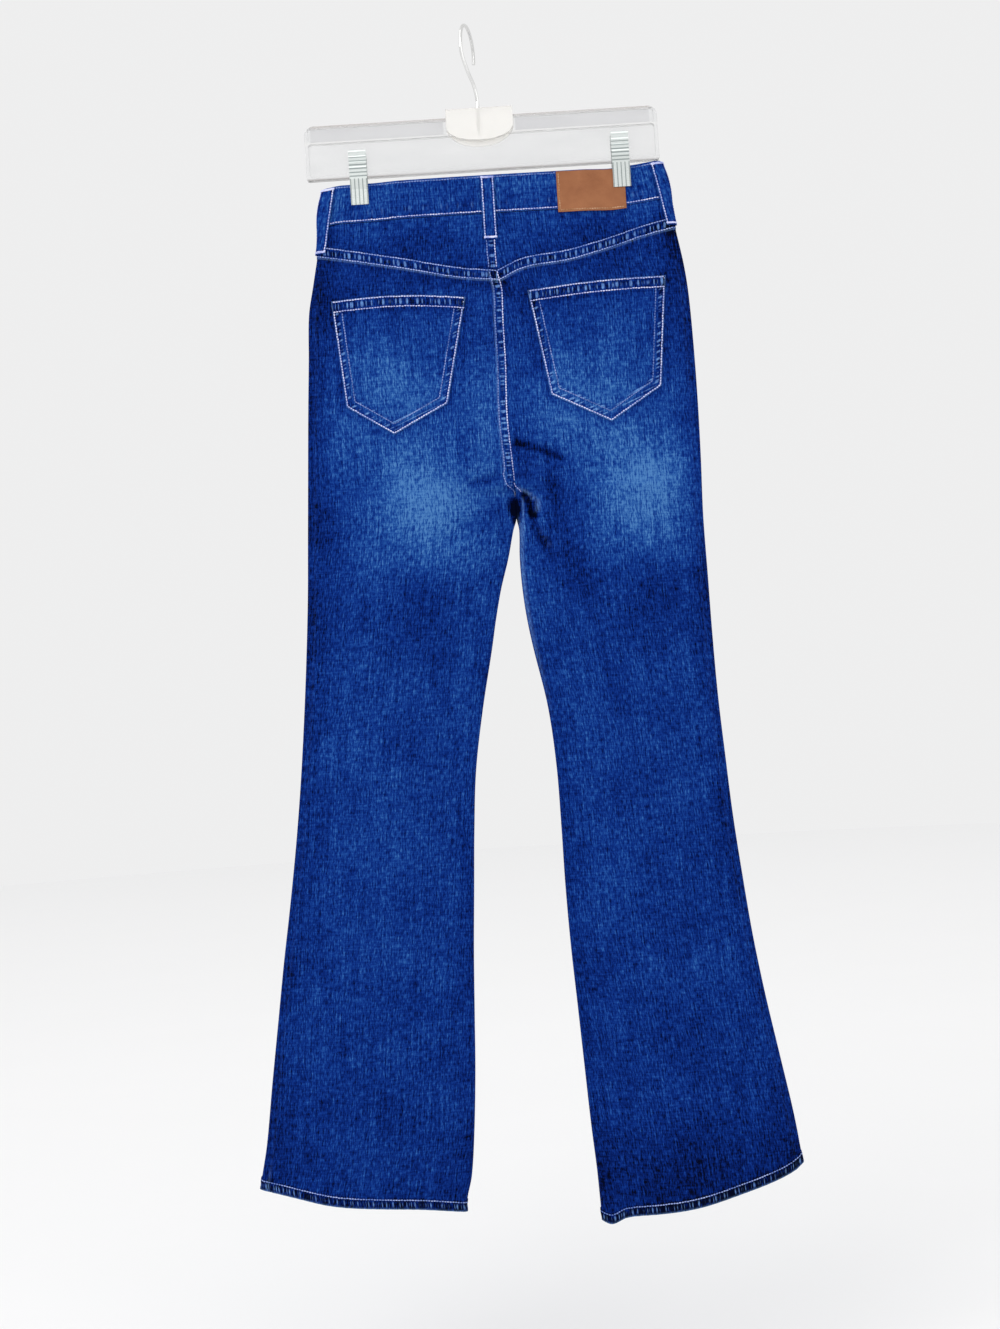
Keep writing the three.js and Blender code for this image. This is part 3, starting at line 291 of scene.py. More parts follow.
def washAt(face, x, z):
    tone = along(washByHeight, z)
    for side, cx, cz, rx, rz, amount in washSpots:
        if side == face:
            tone = tone + amount * bell(x - cx, rx) * bell(z - cz, rz)
            if side < 0 and amount > 0.3:  # the seat's fades stop short where the thigh bends away
                tone = tone - 0.16 * bell(x - cx, rx) * ease(-z, 606, 640) * (1 - ease(-z, 660, 760))
    # darker along the outseams, partly the sides' deeper, less faded blue and partly painted shade where the leg
    # turns away
    toOuter = np.minimum(abs(x - outerX(-1, z)), abs(x - outerX(1, z)))
    tone = tone - blend(0.30, 0.14, ease(-z, 600, 900)) * ease(-z, 216, 232) * bell(toOuter, 22)
    toInner = np.minimum(abs(x - innerX(-1, z)), abs(x - innerX(1, z)))
    tone = tone - 0.10 * ease(-z, 640, 740) * bell(toInner, 16)
    if face < 0:
        # painted shade: the cloth darkened along each of these dips, where shade falls
        for line, halfWidth, _, paintedShade in hollowsAndPaintedShade:
            tone = tone - paintedShade * nearLine(line, x, z, halfWidth)
    # painted shade in the creases' troughs; a fold with negative depth, a ridge, gets a painted highlight instead
    return tone - 0.05 * creaseDepth(creases, face, x, z) - 0.09 * creaseDepth(softFolds, face, x, z)


def ladderBand(distance, centre=6.7, half=3.3):  # the puckered strip between two rows of stitches
    return bell(distance - centre, half)


# Cloth pieces
def evenly(start, end, spacing):
    count = max(1, int(round(abs(end - start) / spacing)))
    return list(np.linspace(start, end, count + 1))


def activate(piece):
    bpy.ops.object.select_all(action="DESELECT")
    piece.select_set(True)
    bpy.context.view_layer.objects.active = piece


def applyModifier(piece, kind, **settings):
    activate(piece)
    modifier = piece.modifiers.new(kind.title(), kind)
    for key, value in settings.items():
        setattr(modifier, key, value)
    bpy.ops.object.modifier_apply(modifier=modifier.name)


def clothGrid(name, columns, rows, place, turned=False):
    # a flat grid of the cloth, then every point is laid in its place on the hanging garment
    bpy.ops.object.select_all(action="DESELECT")
    bpy.ops.mesh.primitive_grid_add(x_subdivisions=len(columns) - 1, y_subdivisions=len(rows) - 1, size=2)
    piece = bpy.context.object
    piece.name = piece.data.name = name
    mesh = piece.data
    flat = np.empty(len(mesh.vertices) * 3)
    mesh.vertices.foreach_get("co", flat)
    flat = flat.reshape(-1, 3)
    i = np.rint((flat[:, 0] + 1) / 2 * (len(columns) - 1)).astype(int)
    j = np.rint((1 - flat[:, 1]) / 2 * (len(rows) - 1)).astype(int)
    laid = place(np.asarray(columns)[i], np.asarray(rows)[j])
    mesh.vertices.foreach_set("co", (laid["points"] * mm).ravel())
    corner = np.empty(len(mesh.loops), int)
    mesh.loops.foreach_get("vertex_index", corner)
    mesh.uv_layers.active.data.foreach_set("uv", (laid["grain"] * mm)[corner].ravel())
    for key in ("wash", "band", "edge", "run"):
        values = np.broadcast_to(laid.get(key, 0.0), (len(mesh.vertices),)).astype(float)
        mesh.attributes.new(key, "FLOAT", "POINT").data.foreach_set("value", values)
    mesh.update()
    if turned:
        activate(piece)
        bpy.ops.object.mode_set(mode="EDIT")
        bpy.ops.mesh.select_all(action="SELECT")
        bpy.ops.mesh.flip_normals()
        bpy.ops.object.mode_set(mode="OBJECT")
    return piece


def smoothSkin(piece):
    activate(piece)
    bpy.ops.object.shade_smooth_by_angle(angle=radians(60))


def finishCloth(piece, outside, inside, wall=garment["wall"]):
    piece.data.materials.append(outside)
    piece.data.materials.append(inside)
    applyModifier(piece, "SOLIDIFY", thickness=wall * mm, offset=-1, material_offset=1, material_offset_rim=0)
    applyModifier(piece, "BEVEL", width=garment["softEdge"] * mm, segments=2, limit_method="ANGLE",
                  angle_limit=radians(50))
    smoothSkin(piece)


def sewOn(piece, node):
    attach(piece, "root")
    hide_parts(node)
    print("laid", piece.name, len(piece.data.polygons), "faces")


# Finishes
def newMaterial(name, roughness, specular=0.5, metallic=0.0, colour=(0.8, 0.8, 0.8)):
    material = bpy.data.materials.new(name)
    material.use_nodes = True
    shader = material.node_tree.nodes["Principled BSDF"]
    shader.inputs["Roughness"].default_value = roughness
    shader.inputs["Specular IOR Level"].default_value = specular
    shader.inputs["Metallic"].default_value = metallic
    shader.inputs["Base Color"].default_value = (*colour, 1)
    return material, material.node_tree, shader


def addNode(tree, kind, sets=None, **inputs):
    made = tree.nodes.new("ShaderNode" + kind)
    for key, value in (sets or {}).items():
        setattr(made, key, value)
    for key, value in inputs.items():
        socket = made.inputs[int(key[1:])] if key[0] == "i" and key[1:].isdigit() else made.inputs[key]
        if isinstance(value, bpy.types.NodeSocket):
            tree.links.new(value, socket)
        else:
            socket.default_value = value
    return made


def maths(tree, operation, a, b=0.0, clamp=False):
    return addNode(tree, "Math", {"operation": operation, "use_clamp": clamp}, i0=a, i1=b).outputs[0]


def times(tree, a, b):
    return maths(tree, "MULTIPLY", a, b)


def plus(tree, a, b):
    return maths(tree, "ADD", a, b)


def minus(tree, a, b):
    return maths(tree, "SUBTRACT", a, b)


def noise(tree, vector, scale, detail, roughness):
    return addNode(tree, "TexNoise", None, Vector=vector, Scale=scale, Detail=detail,
                   Roughness=roughness).outputs[0]


def stretch(tree, vector, scale, turn=0.0, shift=(0, 0, 0)):
    made = addNode(tree, "Mapping", None, Vector=vector, Scale=scale, Location=shift)
    made.inputs["Rotation"].default_value = (0, 0, radians(turn))
    return made.outputs[0]


def span(tree, value, low, high, newLow=0.0, newHigh=1.0):
    made = addNode(tree, "MapRange", {"clamp": True}, Value=value)
    for key, number in (("From Min", low), ("From Max", high), ("To Min", newLow), ("To Max", newHigh)):
        made.inputs[key].default_value = number
    return made.outputs[0]


def mixColour(tree, factor, a, b):
    made = addNode(tree, "Mix", {"data_type": "RGBA"})
    for index, value in ((0, factor), (6, a), (7, b)):
        if isinstance(value, bpy.types.NodeSocket):
            tree.links.new(value, made.inputs[index])
        else:
            made.inputs[index].default_value = value if index == 0 else (*value, 1)
    return made.outputs[2]


def attribute(tree, name):
    return addNode(tree, "Attribute", {"attribute_name": name}).outputs["Fac"]


def onPiece(tree):
    return addNode(tree, "TexCoord").outputs["Object"]


def roughen(tree, shader, height, strength, distance):
    bump = addNode(tree, "Bump", None, Height=height, Strength=strength, Distance=distance)
    tree.links.new(bump.outputs[0], shader.inputs["Normal"])


denim = {
    "tones": [  # from the deepest indigo to the palest fade
        (0.0, (0.0004, 0.0016, 0.012)), (0.10, (0.0007, 0.0062, 0.072)), (0.28, (0.0015, 0.0148, 0.134)),
        (0.44, (0.0030, 0.0250, 0.200)), (0.64, (0.0092, 0.0560, 0.272)), (0.76, (0.0190, 0.0910, 0.332)),
        (0.88, (0.0420, 0.1420, 0.395)), (1.0, (0.0680, 0.1950, 0.460)),
    ],
    "wornWhite": (0.20, 0.385, 0.74),
    "streak": 0.38, "fleck": 0.62, "weft": 0.22, "cloud": 0.16, "mottle": 0.14, "twill": 0.10,
    "beads": 0.45, "trough": 0.24, "beadWhite": 0.62, "beadScale": 250.0, "bump": 0.00045,
}


def makeDenim(name, inside=False):
    material, tree, shader = newMaterial(name, 0.92, specular=0.03)
    grain = addNode(tree, "TexCoord").outputs["UV"]
    streak = noise(tree, stretch(tree, grain, (500, 12, 1)), 1.0, 3.0, 0.65)
    fleck = noise(tree, stretch(tree, grain, (640, 150, 1), shift=(3.1, 7.7, 0)), 1.0, 2.0, 0.65)
    weft = noise(tree, stretch(tree, grain, (80, 520, 1), shift=(9.3, 1.7, 0)), 1.0, 2.0, 0.6)
    cloud = noise(tree, grain, 14.0, 3.0, 0.55)
    mottle = noise(tree, stretch(tree, grain, (1, 1, 1), shift=(2.3, 4.1, 0)), 62.0, 3.0, 0.6)
    twill = addNode(tree, "TexWave", {"wave_type": "BANDS", "bands_direction": "X", "wave_profile": "SIN"},
                    Vector=stretch(tree, grain, (1, 1, 1), turn=27), Scale=330.0, Distortion=1.2,
                    Detail=1.0).outputs[1]
    wash, band, edge, run = (attribute(tree, key) for key in ("wash", "band", "edge", "run"))
    ladder = addNode(tree, "TexNoise", {"noise_dimensions": "1D"}, W=run, Scale=denim["beadScale"], Detail=1.0,
                     Roughness=0.5).outputs[0]
    ladder = span(tree, times(tree, span(tree, ladder, 0.46, 0.66), band), 0.26, 0.66)
    tone = wash
    grains = {"streak": streak, "fleck": fleck, "weft": weft, "cloud": cloud, "mottle": mottle, "twill": twill}
    for key, part in grains.items():
        centred = minus(tree, span(tree, part, 0.34, 0.66), 0.5)
        tone = plus(tree, tone, times(tree, centred, denim[key]))
    marks = minus(tree, times(tree, ladder, denim["beads"]), times(tree, band, denim["trough"]))
    tone = maths(tree, "ADD", times(tree, plus(tree, tone, marks), 0.8), 0.08, clamp=True)
    ramp = addNode(tree, "ValToRGB", None, Fac=tone)
    stops = ramp.color_ramp.elements
    while len(stops) < len(denim["tones"]):
        stops.new(0.5)
    for stop, (place, colour) in zip(stops, denim["tones"]):
        stop.position = place
        stop.color = (*colour, 1)
    white = plus(tree, edge, times(tree, ladder, denim["beadWhite"]))
    rubbed = times(tree, white, span(tree, fleck, 0.35, 0.65, 0.35, 1.0))
    colour = mixColour(tree, rubbed, ramp.outputs[0], denim["wornWhite"])
    if inside:
        colour = mixColour(tree, 0.72, colour, (0.22, 0.29, 0.46))
    tree.links.new(colour, shader.inputs["Base Color"])
    height = times(tree, streak, 0.5)
    for part, amount in ((fleck, 0.5), (twill, 0.35), (ladder, 1.4)):
        height = plus(tree, height, times(tree, part, amount))
    roughen(tree, shader, height, 0.8, denim["bump"])
    shader.inputs["Sheen Weight"].default_value = 0.02
    shader.inputs["Sheen Roughness"].default_value = 0.5
    shader.inputs["Sheen Tint"].default_value = (0.10, 0.22, 0.75, 1)
    return material


denimOut = makeDenim("washed_denim")
denimIn = makeDenim("denim_inside", inside=True)


def makeThread(name, pale, worn):
    material, tree, shader = newMaterial(name, 0.7, specular=0.2)
    place = onPiece(tree)
    patchy = span(tree, noise(tree, place, 60.0, 3.0, 0.6), 0.38, 0.62)
    tree.links.new(mixColour(tree, patchy, worn, pale), shader.inputs["Base Color"])
    ply = addNode(tree, "TexWave", {"bands_direction": "DIAGONAL"}, Vector=place, Scale=900.0, Distortion=0.5)
    roughen(tree, shader, ply.outputs[1], 0.5, 0.0001)
    return material


thread = makeThread("pale_thread", (0.70, 0.72, 0.98), (0.30, 0.35, 0.70))
yokeThread = makeThread("rubbed_thread", (0.37, 0.46, 0.80), (0.12, 0.20, 0.52))
wornThread = makeThread("worn_thread", (0.22, 0.30, 0.62), (0.07, 0.13, 0.38))
tanThread = makeThread("tan_thread", (0.62, 0.38, 0.24), (0.36, 0.17, 0.08))


def makeLeather():
    material, tree, shader = newMaterial("tan_leather", 0.62, specular=0.3)
    place = onPiece(tree)
    cloud = noise(tree, place, 45.0, 4.0, 0.6)
    pores = noise(tree, place, 1500.0, 3.0, 0.65)
    tone = mixColour(tree, span(tree, cloud, 0.3, 0.7), (0.265, 0.094, 0.036), (0.355, 0.140, 0.058))
    tone = mixColour(tree, span(tree, pores, 0.40, 0.62, 0.0, 0.35), tone, (0.20, 0.07, 0.025))
    tree.links.new(tone, shader.inputs["Base Color"])
    roughen(tree, shader, plus(tree, pores, cloud), 0.45, 0.0003)
    return material


leather = makeLeather()


def makeSteel(name, colour, roughness, brush):
    material, tree, shader = newMaterial(name, roughness, metallic=1.0)
    place = onPiece(tree)
    lines = noise(tree, stretch(tree, place, brush), 1.0, 3.0, 0.6)
    darker = tuple(part * 0.82 for part in colour)
    tree.links.new(mixColour(tree, lines, darker, colour), shader.inputs["Base Color"])
    tree.links.new(span(tree, lines, 0.3, 0.7, roughness * 0.8, roughness * 1.3), shader.inputs["Roughness"])
    roughen(tree, shader, lines, 0.2, 0.0002)
    return material


steel = makeSteel("plated_steel", (0.72, 0.76, 0.74), 0.32, (260, 260, 2600))
clipGrooveShade = {"ribPitch": 0.0042, "ribTop": -0.1425, "plateTop": -0.1667, "groovePitch": 0.0046, "dark": 0.72}


def makeClipSteel(name, centre):  # ribs across the jaw's top and grooves down its plate, drawn as painted shade darkening the steel
    material = makeSteel(name, (0.80, 0.85, 0.83), 0.30, (260, 260, 2600))
    tree = material.node_tree
    shader = tree.nodes["Principled BSDF"]
    place = addNode(tree, "SeparateXYZ", None, i0=onPiece(tree))
    ribs = maths(tree, "COSINE", times(tree, place.outputs[2], 2 * pi / clipGrooveShade["ribPitch"]))
    fromCentre = minus(tree, place.outputs[0], centre)
    grooves = maths(tree, "COSINE", times(tree, fromCentre, 2 * pi / clipGrooveShade["groovePitch"]))
    low = maths(tree, "LESS_THAN", place.outputs[2], clipGrooveShade["plateTop"])
    high = times(tree, minus(tree, 1.0, low), maths(tree, "LESS_THAN", place.outputs[2], clipGrooveShade["ribTop"]))
    marks = plus(tree, times(tree, span(tree, ribs, 0.1, 0.8), high),
                 times(tree, span(tree, grooves, 0.45, 0.95), low))
    plain = shader.inputs["Base Color"].links[0].from_socket
    # painted shade: the steel darkened between the ribs and along the grooves, where shade falls
    shaded = mixColour(tree, times(tree, marks, clipGrooveShade["dark"]), plain, (0.16, 0.20, 0.205))
    tree.links.new(shaded, shader.inputs["Base Color"])
    return material


wire = makeSteel("hook_wire", (0.80, 0.80, 0.79), 0.22, (900, 900, 120))
copper = makeSteel("copper_button", (0.62, 0.34, 0.20), 0.34, (700, 700, 700))
hangerLightAndShade = [  # spans of x and z in metres, and the colour painted there: painted shade on the recessed panels and along the top and bottom edges, a painted highlight along the rib under the panels
    ((-0.186, -0.033), (-0.1215, -0.1065), (0.80, 0.80, 0.815)),
    ((0.050, 0.204), (-0.1215, -0.1065), (0.80, 0.80, 0.815)),
    ((-0.195, 0.215), (-0.1242, -0.1220), (0.995, 0.99, 0.98)),
    ((-0.195, 0.215), (-0.1046, -0.1030), (0.62, 0.57, 0.54)),
    ((-0.195, 0.215), (-0.1665, -0.1638), (0.42, 0.40, 0.39)),
]
boss = {"x": 0.0091, "z": -0.114, "halfWidth": 0.0386, "drop": 0.0235, "shade": (0.99, 0.975, 0.945)}


def insideSpan(tree, place, axis, low, high, soft=0.0008):
    rise = span(tree, place.outputs[axis], low - soft, low + soft)
    return times(tree, rise, span(tree, place.outputs[axis], high - soft, high + soft, 1.0, 0.0))


def makeClearPlastic():
    material, tree, shader = newMaterial("clear_plastic", 0.08, specular=0.5, colour=(0.93, 0.935, 0.94))
    shader.inputs["IOR"].default_value = 1.5
    place = onPiece(tree)
    apart = addNode(tree, "SeparateXYZ", None, i0=place)
    ripple = noise(tree, stretch(tree, place, (9, 40, 40)), 1.0, 2.0, 0.5)
    scuffs = noise(tree, place, 420.0, 3.0, 0.6)
    tree.links.new(span(tree, scuffs, 0.45, 0.75, 0.05, 0.22), shader.inputs["Roughness"])
    tint = mixColour(tree, span(tree, ripple, 0.3, 0.7), (0.90, 0.905, 0.91), (0.96, 0.962, 0.965))
    # painted shade and highlight lines laid over the plastic's tint
    for (x1, x2), (z1, z2), tone in hangerLightAndShade:
        there = times(tree, insideSpan(tree, apart, 0, x1, x2), insideSpan(tree, apart, 2, z1, z2))
        tint = mixColour(tree, times(tree, there, span(tree, ripple, 0.3, 0.6, 0.55, 1.0)), tint, tone)
    aside = maths(tree, "DIVIDE", minus(tree, apart.outputs[0], boss["x"]), boss["halfWidth"])
    under = maths(tree, "DIVIDE", minus(tree, apart.outputs[2], boss["z"]), boss["drop"])
    under = maths(tree, "MINIMUM", under, 0.0)
    reach = plus(tree, maths(tree, "POWER", aside, 2.0), maths(tree, "POWER", under, 2.0))
    onBoss = span(tree, reach, 0.96, 1.04, 1.0, 0.0)
    tree.links.new(mixColour(tree, onBoss, tint, boss["shade"]), shader.inputs["Base Color"])
    tree.links.new(span(tree, onBoss, 0.0, 1.0, 0.9, 0.45), shader.inputs["Transmission Weight"])
    roughen(tree, shader, ripple, 0.3, 0.0006)
    return material


clearPlastic = makeClearPlastic()


def refinish(nodeNames, material):
    for name in nodeNames:
        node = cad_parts[name]
        node.data.materials.clear()
        node.data.materials.append(material)


refinish(["hanger_bar"], clearPlastic)
refinish(["hanger_hook"], wire)
refinish(["clip_left_back", "clip_left_front"], makeClipSteel("left_clip_steel", clipX["left"] * mm))
refinish(["clip_right_back", "clip_right_front"], makeClipSteel("right_clip_steel", clipX["right"] * mm))
refinish(["clip_left_spring", "clip_right_spring"], steel)
refinish(["waist_button"], copper)
print("finishes made")

# Panels
panel = {
    "foldArcs": [0, 1.3, 2.6, 3.9, 5.2, 6.5, 7.85], "fine": 1.3, "coarse": 4.2, "sideZone": 20, "innerZone": 19.5,
    "ridgeAt": 12, "roping": 0.35, "frontHemRise": 1.5, "topGap": 0.6, "yokeGap": 0.3,
}
panelTop = garment["bandBottom"] - panel["topGap"]


def panelColumns():
    bends = panel["foldArcs"]
    side, inner = (bends + evenly(bends[-1], panel[zone], panel["fine"])[1:] for zone in ("sideZone", "innerZone"))
    middle = list(np.linspace(0, 1, 42))[1:-1]
    return [(0, arc) for arc in side] + [(1, part) for part in middle] + [(2, arc) for arc in reversed(inner)]


def panelArc(leg, column, z):  # the middle of a panel stretches with the leg, the seams' strips don't
    kind, value = column[..., 0], column[..., 1]
    width = legWidth(leg, z)
    start, end = panel["sideZone"], width - panel["innerZone"]
    return np.select([kind == 0, kind == 2], [value, width - value], blend(start, end, value))


def panelRows(top, bottom):
    crotch, fine, coarse = garment["crotch"], panel["fine"], panel["coarse"]
    stretches = [
        (top, top - 16, fine), (top - 16, crotch + 70, coarse), (crotch + 70, crotch, 2.2),
        (crotch, crotch - 40, 2.2), (crotch - 40, bottom + 17, coarse), (bottom + 17, bottom, 1.2),
    ]
    return [top] + [z for start, end, spacing in stretches for z in evenly(start, end, spacing)[1:]]


def lineHeight(line, leg, column, start):  # a seam's height where each column meets it
    z = np.full(len(column), float(start))
    for _ in range(4):
        x = xAt(leg, panelArc(leg, column, z), z)
        z = line(share(leg, x, z), x)
    return z


def layPanel(leg, face, topLine, hemLine, columns, level, felled):
    first, last = level.max(), level.min()
    down = (first - level) / (first - last)
    top, hem = lineHeight(topLine, leg, columns, first), lineHeight(hemLine, leg, columns, last)
    z = blend(top, hem, down)
    arc = panelArc(leg, columns, z)
    x = xAt(leg, arc, z)
    points, normals = skin(leg, face, arc, z)
    width = legWidth(leg, z)
    belowTop, aboveHem, toInner = top - z, z - hem, width - arc
    seat = z > garment["crotch"] + 6
    fromRidge = arc - panel["ridgeAt"]
    lift = 0.5 * garment["fell"] * bell(fromRidge, 1.6) * ease(-z, 280, 330)
    band = np.zeros(len(z))
    edge = 0.02 * bell(fromRidge, 1.1) * ease(belowTop, 20, 60)
    if face < 0:
        # pale fold crests: partly wear, partly painted highlight
        for line, halfWidth, white in paleFoldWearAndHighlight:
            edge = np.maximum(edge, white * nearLine(line, x, z, halfWidth))
        if leg < 0:  # the left outseam's pressed edge above the hem
            edge = np.maximum(edge, 0.30 * bell(fromRidge, 1.3) * ease(-z, 1280, 1325))
    if leg > 0:  # the right inseam's pale edge, partly worn and partly a painted highlight
        fringeWearAndHighlight = bell(toInner - 5, 2.4) * ease(-z, 560, 580) * (1 - ease(-z, 640, 820))
        edge = np.maximum(edge, 0.36 * fringeWearAndHighlight)
    run = z.copy()
    if face < 0:
        strip = 1 - ease(belowTop, 12.8, 14)
        lift = np.maximum(lift, garment["fell"] * strip)
        band = np.maximum(band, ladderBand(belowTop))
        edge = np.maximum(edge, 0.35 * bell(belowTop - 13, 0.8))
        run = np.where(belowTop < 14, x, run)
        if felled:
            strip = (1 - ease(toInner, 12.8, 14)) * seat
            lift = np.maximum(lift, garment["fell"] * strip)
            band = np.maximum(band, ladderBand(toInner) * seat)
            edge = np.maximum(edge, 0.3 * bell(toInner - 13, 0.8) * seat)
    hemStrip = 1 - ease(aboveHem, garment["hemBand"] - 0.4, garment["hemBand"] + 0.8)
    rope = np.sin(2 * pi * (x * 0.9 + aboveHem * 0.55) / 9.5 + 2.1 * np.sin(x / 23))
    lift = np.maximum(lift, hemStrip * (garment["fell"] + panel["roping"] * rope))
    band = np.maximum(band, ladderBand(aboveHem, 5.4, 4.0) * 0.66)
    edge = np.maximum(edge, 0.55 * bell(aboveHem, 1.1))
    run = np.where(aboveHem < 14, x * 1.6 + aboveHem * 0.12, run)
    points = points + normals * lift[:, None]
    onSeam = (toInner < 0.01) & (z >= garment["crotch"] - 0.5)
    points[onSeam, 0] = innerX(leg, z)[onSeam]
    points[:, 1] = face * np.maximum(face * points[:, 1], garment["halfGap"])
    mid = (outerX(leg, z) + innerX(leg, z)) / 2
    grain = np.stack([-leg * (arc - width / 2) + leg * 300 + (mid - mid.mean()) * 0.1, -z + face * 700], -1)
    wash = washAt(face, x, z) - 0.10 * bell(belowTop - 16, 6) - 0.16 * hemStrip
    if face < 0:
        wash = wash - 0.18 * bell(pocketNearness(leg, x, z), 9)
    return {"points": points, "grain": grain, "wash": wash, "band": band, "edge": edge, "run": run * mm}


pockets = {
    -1: {"corners": ((-173.5, -306), (-19.5, -312)), "crown": 4.5,
         "low": ((-163, -428.5), (-47, -432.5)), "tip": (-110, -463.5)},
    1: {"corners": ((51.5, -309), (210.5, -300)), "crown": 2.5,
        "low": ((71, -430), (198, -426)), "tip": (138, -464)},
}
pocketHem = 14


def pocketPlace(leg, across, down):
    pocket = pockets[leg]
    (tlx, tlz), (trx, trz) = pocket["corners"]
    (blx, blz), (brx, brz) = pocket["low"]
    tip = (pocket["tip"][0] - blx) / (brx - blx)
    topX, topZ = blend(tlx, trx, across), blend(tlz, trz, across) + pocket["crown"] * np.sin(pi * across)
    towards = np.where(across < tip, across / tip, (1 - across) / (1 - tip))
    lowX, lowZ = blend(blx, brx, across), blend(np.where(across < tip, blz, brz), pocket["tip"][1], towards)
    return blend(topX, lowX, down), blend(topZ, lowZ, down)


def pocketOutline(leg, inset=0.0):  # the five sides from the top left corner down and round, as straight runs
    pocket = pockets[leg]
    corners = [pocket["corners"][0], pocket["low"][0], pocket["tip"], pocket["low"][1], pocket["corners"][1]]
    middle = np.mean(corners, axis=0)
    sides = []
    for a, b in zip(corners, corners[1:]):
        a, b = np.array(a, float), np.array(b, float)
        across = np.array([-(b - a)[1], (b - a)[0]]) / np.hypot(*(b - a))
        across *= np.sign(np.dot(across, middle - (a + b) / 2))
        sides.append((a + across * inset, b + across * inset))
    meets = [sides[0][0]]
    for (a, b), (c, d) in zip(sides, sides[1:]):
        run, other = b - a, d - c
        t = ((c - a)[0] * other[1] - (c - a)[1] * other[0]) / (run[0] * other[1] - run[1] * other[0])
        meets.append(a + run * t)
    meets.append(sides[-1][1])
    return meets


def pocketNearness(leg, x, z):
    outline = pocketOutline(leg)
    return np.min([offRun(a, b, x, z)[1] for a, b in zip(outline, outline[1:])], axis=0)


def yokeLine(leg, drop=0.0):
    return lambda part, x: along(yokeSeams[leg], part) - drop


def hemLine(leg, rise=0.0):
    return lambda part, x: along(hems[leg], part) + rise


def underBand(x):
    return panelTop + along(bandRise, x)


scoop = {"reach": 0.56, "depth": 74, "facingDepth": 92}


def scoopDrop(part):
    return scoop["depth"] * np.maximum(0, 1 - (part / scoop["reach"]) ** 2.4) ** 0.62


sideName = {-1: "left", 1: "right"}
for leg in (-1, 1):
    top, bottom = float(along(yokeSeams[leg], 1)) - panel["yokeGap"], float(along(hems[leg], 1))
    columns, hemRise = panelColumns(), panel["frontHemRise"]
    back = clothGrid(
        "denim_back_" + sideName[leg], columns, panelRows(top, bottom),
        lambda c, level, leg=leg: layPanel(
            leg, -1, yokeLine(leg, panel["yokeGap"]), hemLine(leg), c, level, leg < 0),
        turned=leg > 0,
    )
    finishCloth(back, denimOut, denimIn)
    sewOn(back, "back_panel_" + sideName[leg])
    front = clothGrid(
        "denim_front_" + sideName[leg], columns, panelRows(panelTop, bottom + hemRise),
        lambda c, level, leg=leg: layPanel(
            leg, 1, lambda part, x: underBand(x) - scoopDrop(part), hemLine(leg, hemRise), c, level, False),
        turned=leg < 0,
    )
    finishCloth(front, denimOut, denimIn)
    sewOn(front, "front_panel_" + sideName[leg])


# Yokes
def layYoke(leg, columns, down):
    top = lineHeight(lambda part, x: underBand(x), leg, columns, -217)
    low = lineHeight(yokeLine(leg), leg, columns, -262)
    z = blend(top, low, down)
    arc = panelArc(leg, columns, z)
    x = xAt(leg, arc, z)
    points, normals = skin(leg, -1, arc, z)
    toInner = legWidth(leg, z) - arc
    strip = (1 - ease(toInner, 12.8, 14)) * (leg < 0)
    points = points + normals * (garment["fell"] * strip)[:, None]
    onSeam = toInner < 0.01
    points[onSeam, 0] = innerX(leg, z)[onSeam]
    band = ladderBand(toInner) * (leg < 0)
    wash = washAt(-1, x, z) - 0.10 * bell(z - low, 4) - 0.06 * bell(top - z, 5)
    mid = (outerX(leg, z) + innerX(leg, z)) / 2
    grain = np.stack([x - mid + 900, -z + 5000], -1)
    return {"points": points, "grain": grain, "wash": wash, "band": band, "run": z * mm}


for leg in (-1, 1):
    yoke = clothGrid("denim_yoke_" + sideName[leg], panelColumns(), list(np.linspace(0, 1, 26)),
                     lambda c, down, leg=leg: layYoke(leg, c, down), turned=leg > 0)
    finishCloth(yoke, denimOut, denimIn)
    sewOn(yoke, "yoke_" + sideName[leg])


# Pockets
patchPocket = {"wall": 1.2, "gap": 0.3, "hemLift": 0.7, "puff": 0.9}


def layPocket(leg, across, down):
    x, z = pocketPlace(leg, across, down)
    points, normals = skin(leg, -1, arcAt(leg, x, z), z)
    belowTop = pocketPlace(leg, across, np.zeros(len(across)))[1] - z
    toSide = pocketNearness(leg, x, z)
    puff = patchPocket["puff"] * np.sin(pi * down) * np.sin(pi * across)
    hemStrip = 1 - ease(belowTop, pocketHem - 0.6, pocketHem + 0.6)
    ripple = 0.22 * np.sin(x * 2 * pi / 7.3 + 1.7 * np.sin(x / 11)) * hemStrip
    lip = 0.5 * (1 - ease(toSide, 0, 10)) * (0.5 + 0.5 * np.sin(z * 2 * pi / 8.1 + 1.3 * np.sin(z / 13)))
    lift = patchPocket["gap"] + patchPocket["wall"] + patchPocket["hemLift"] * hemStrip + puff
    lift = lift + (ripple + lip * 0.4) * ease(np.minimum(toSide, belowTop), 0.5, 3)
    foot = ladderBand(toSide, 11.5, 2.0) * ease(down, 0.72, 0.9) * 0.8
    band = np.maximum(np.maximum(ladderBand(toSide, 5.2, 2.4) * 0.9, foot), ladderBand(belowTop, 7, 3.6))
    edge = 0.5 * bell(np.minimum(toSide, belowTop), 0.9)
    wash = washAt(-1, x, z) + 0.04 - 0.20 * ladderBand(toSide, 2.6, 1.8) - 0.10 * hemStrip
    # painted shade: a darker band under the pocket's turned hem
    wash = wash - 0.16 * ladderBand(belowTop, pocketHem + 2.5, 3.0)
    run = np.where(belowTop < pocketHem, x, z - x * 0.4)
    grain = np.stack([x + leg * 170, -z + 9000], -1)
    return {"points": points + normals * lift[:, None], "grain": grain, "wash": wash, "band": band,
            "edge": edge, "run": run * mm}


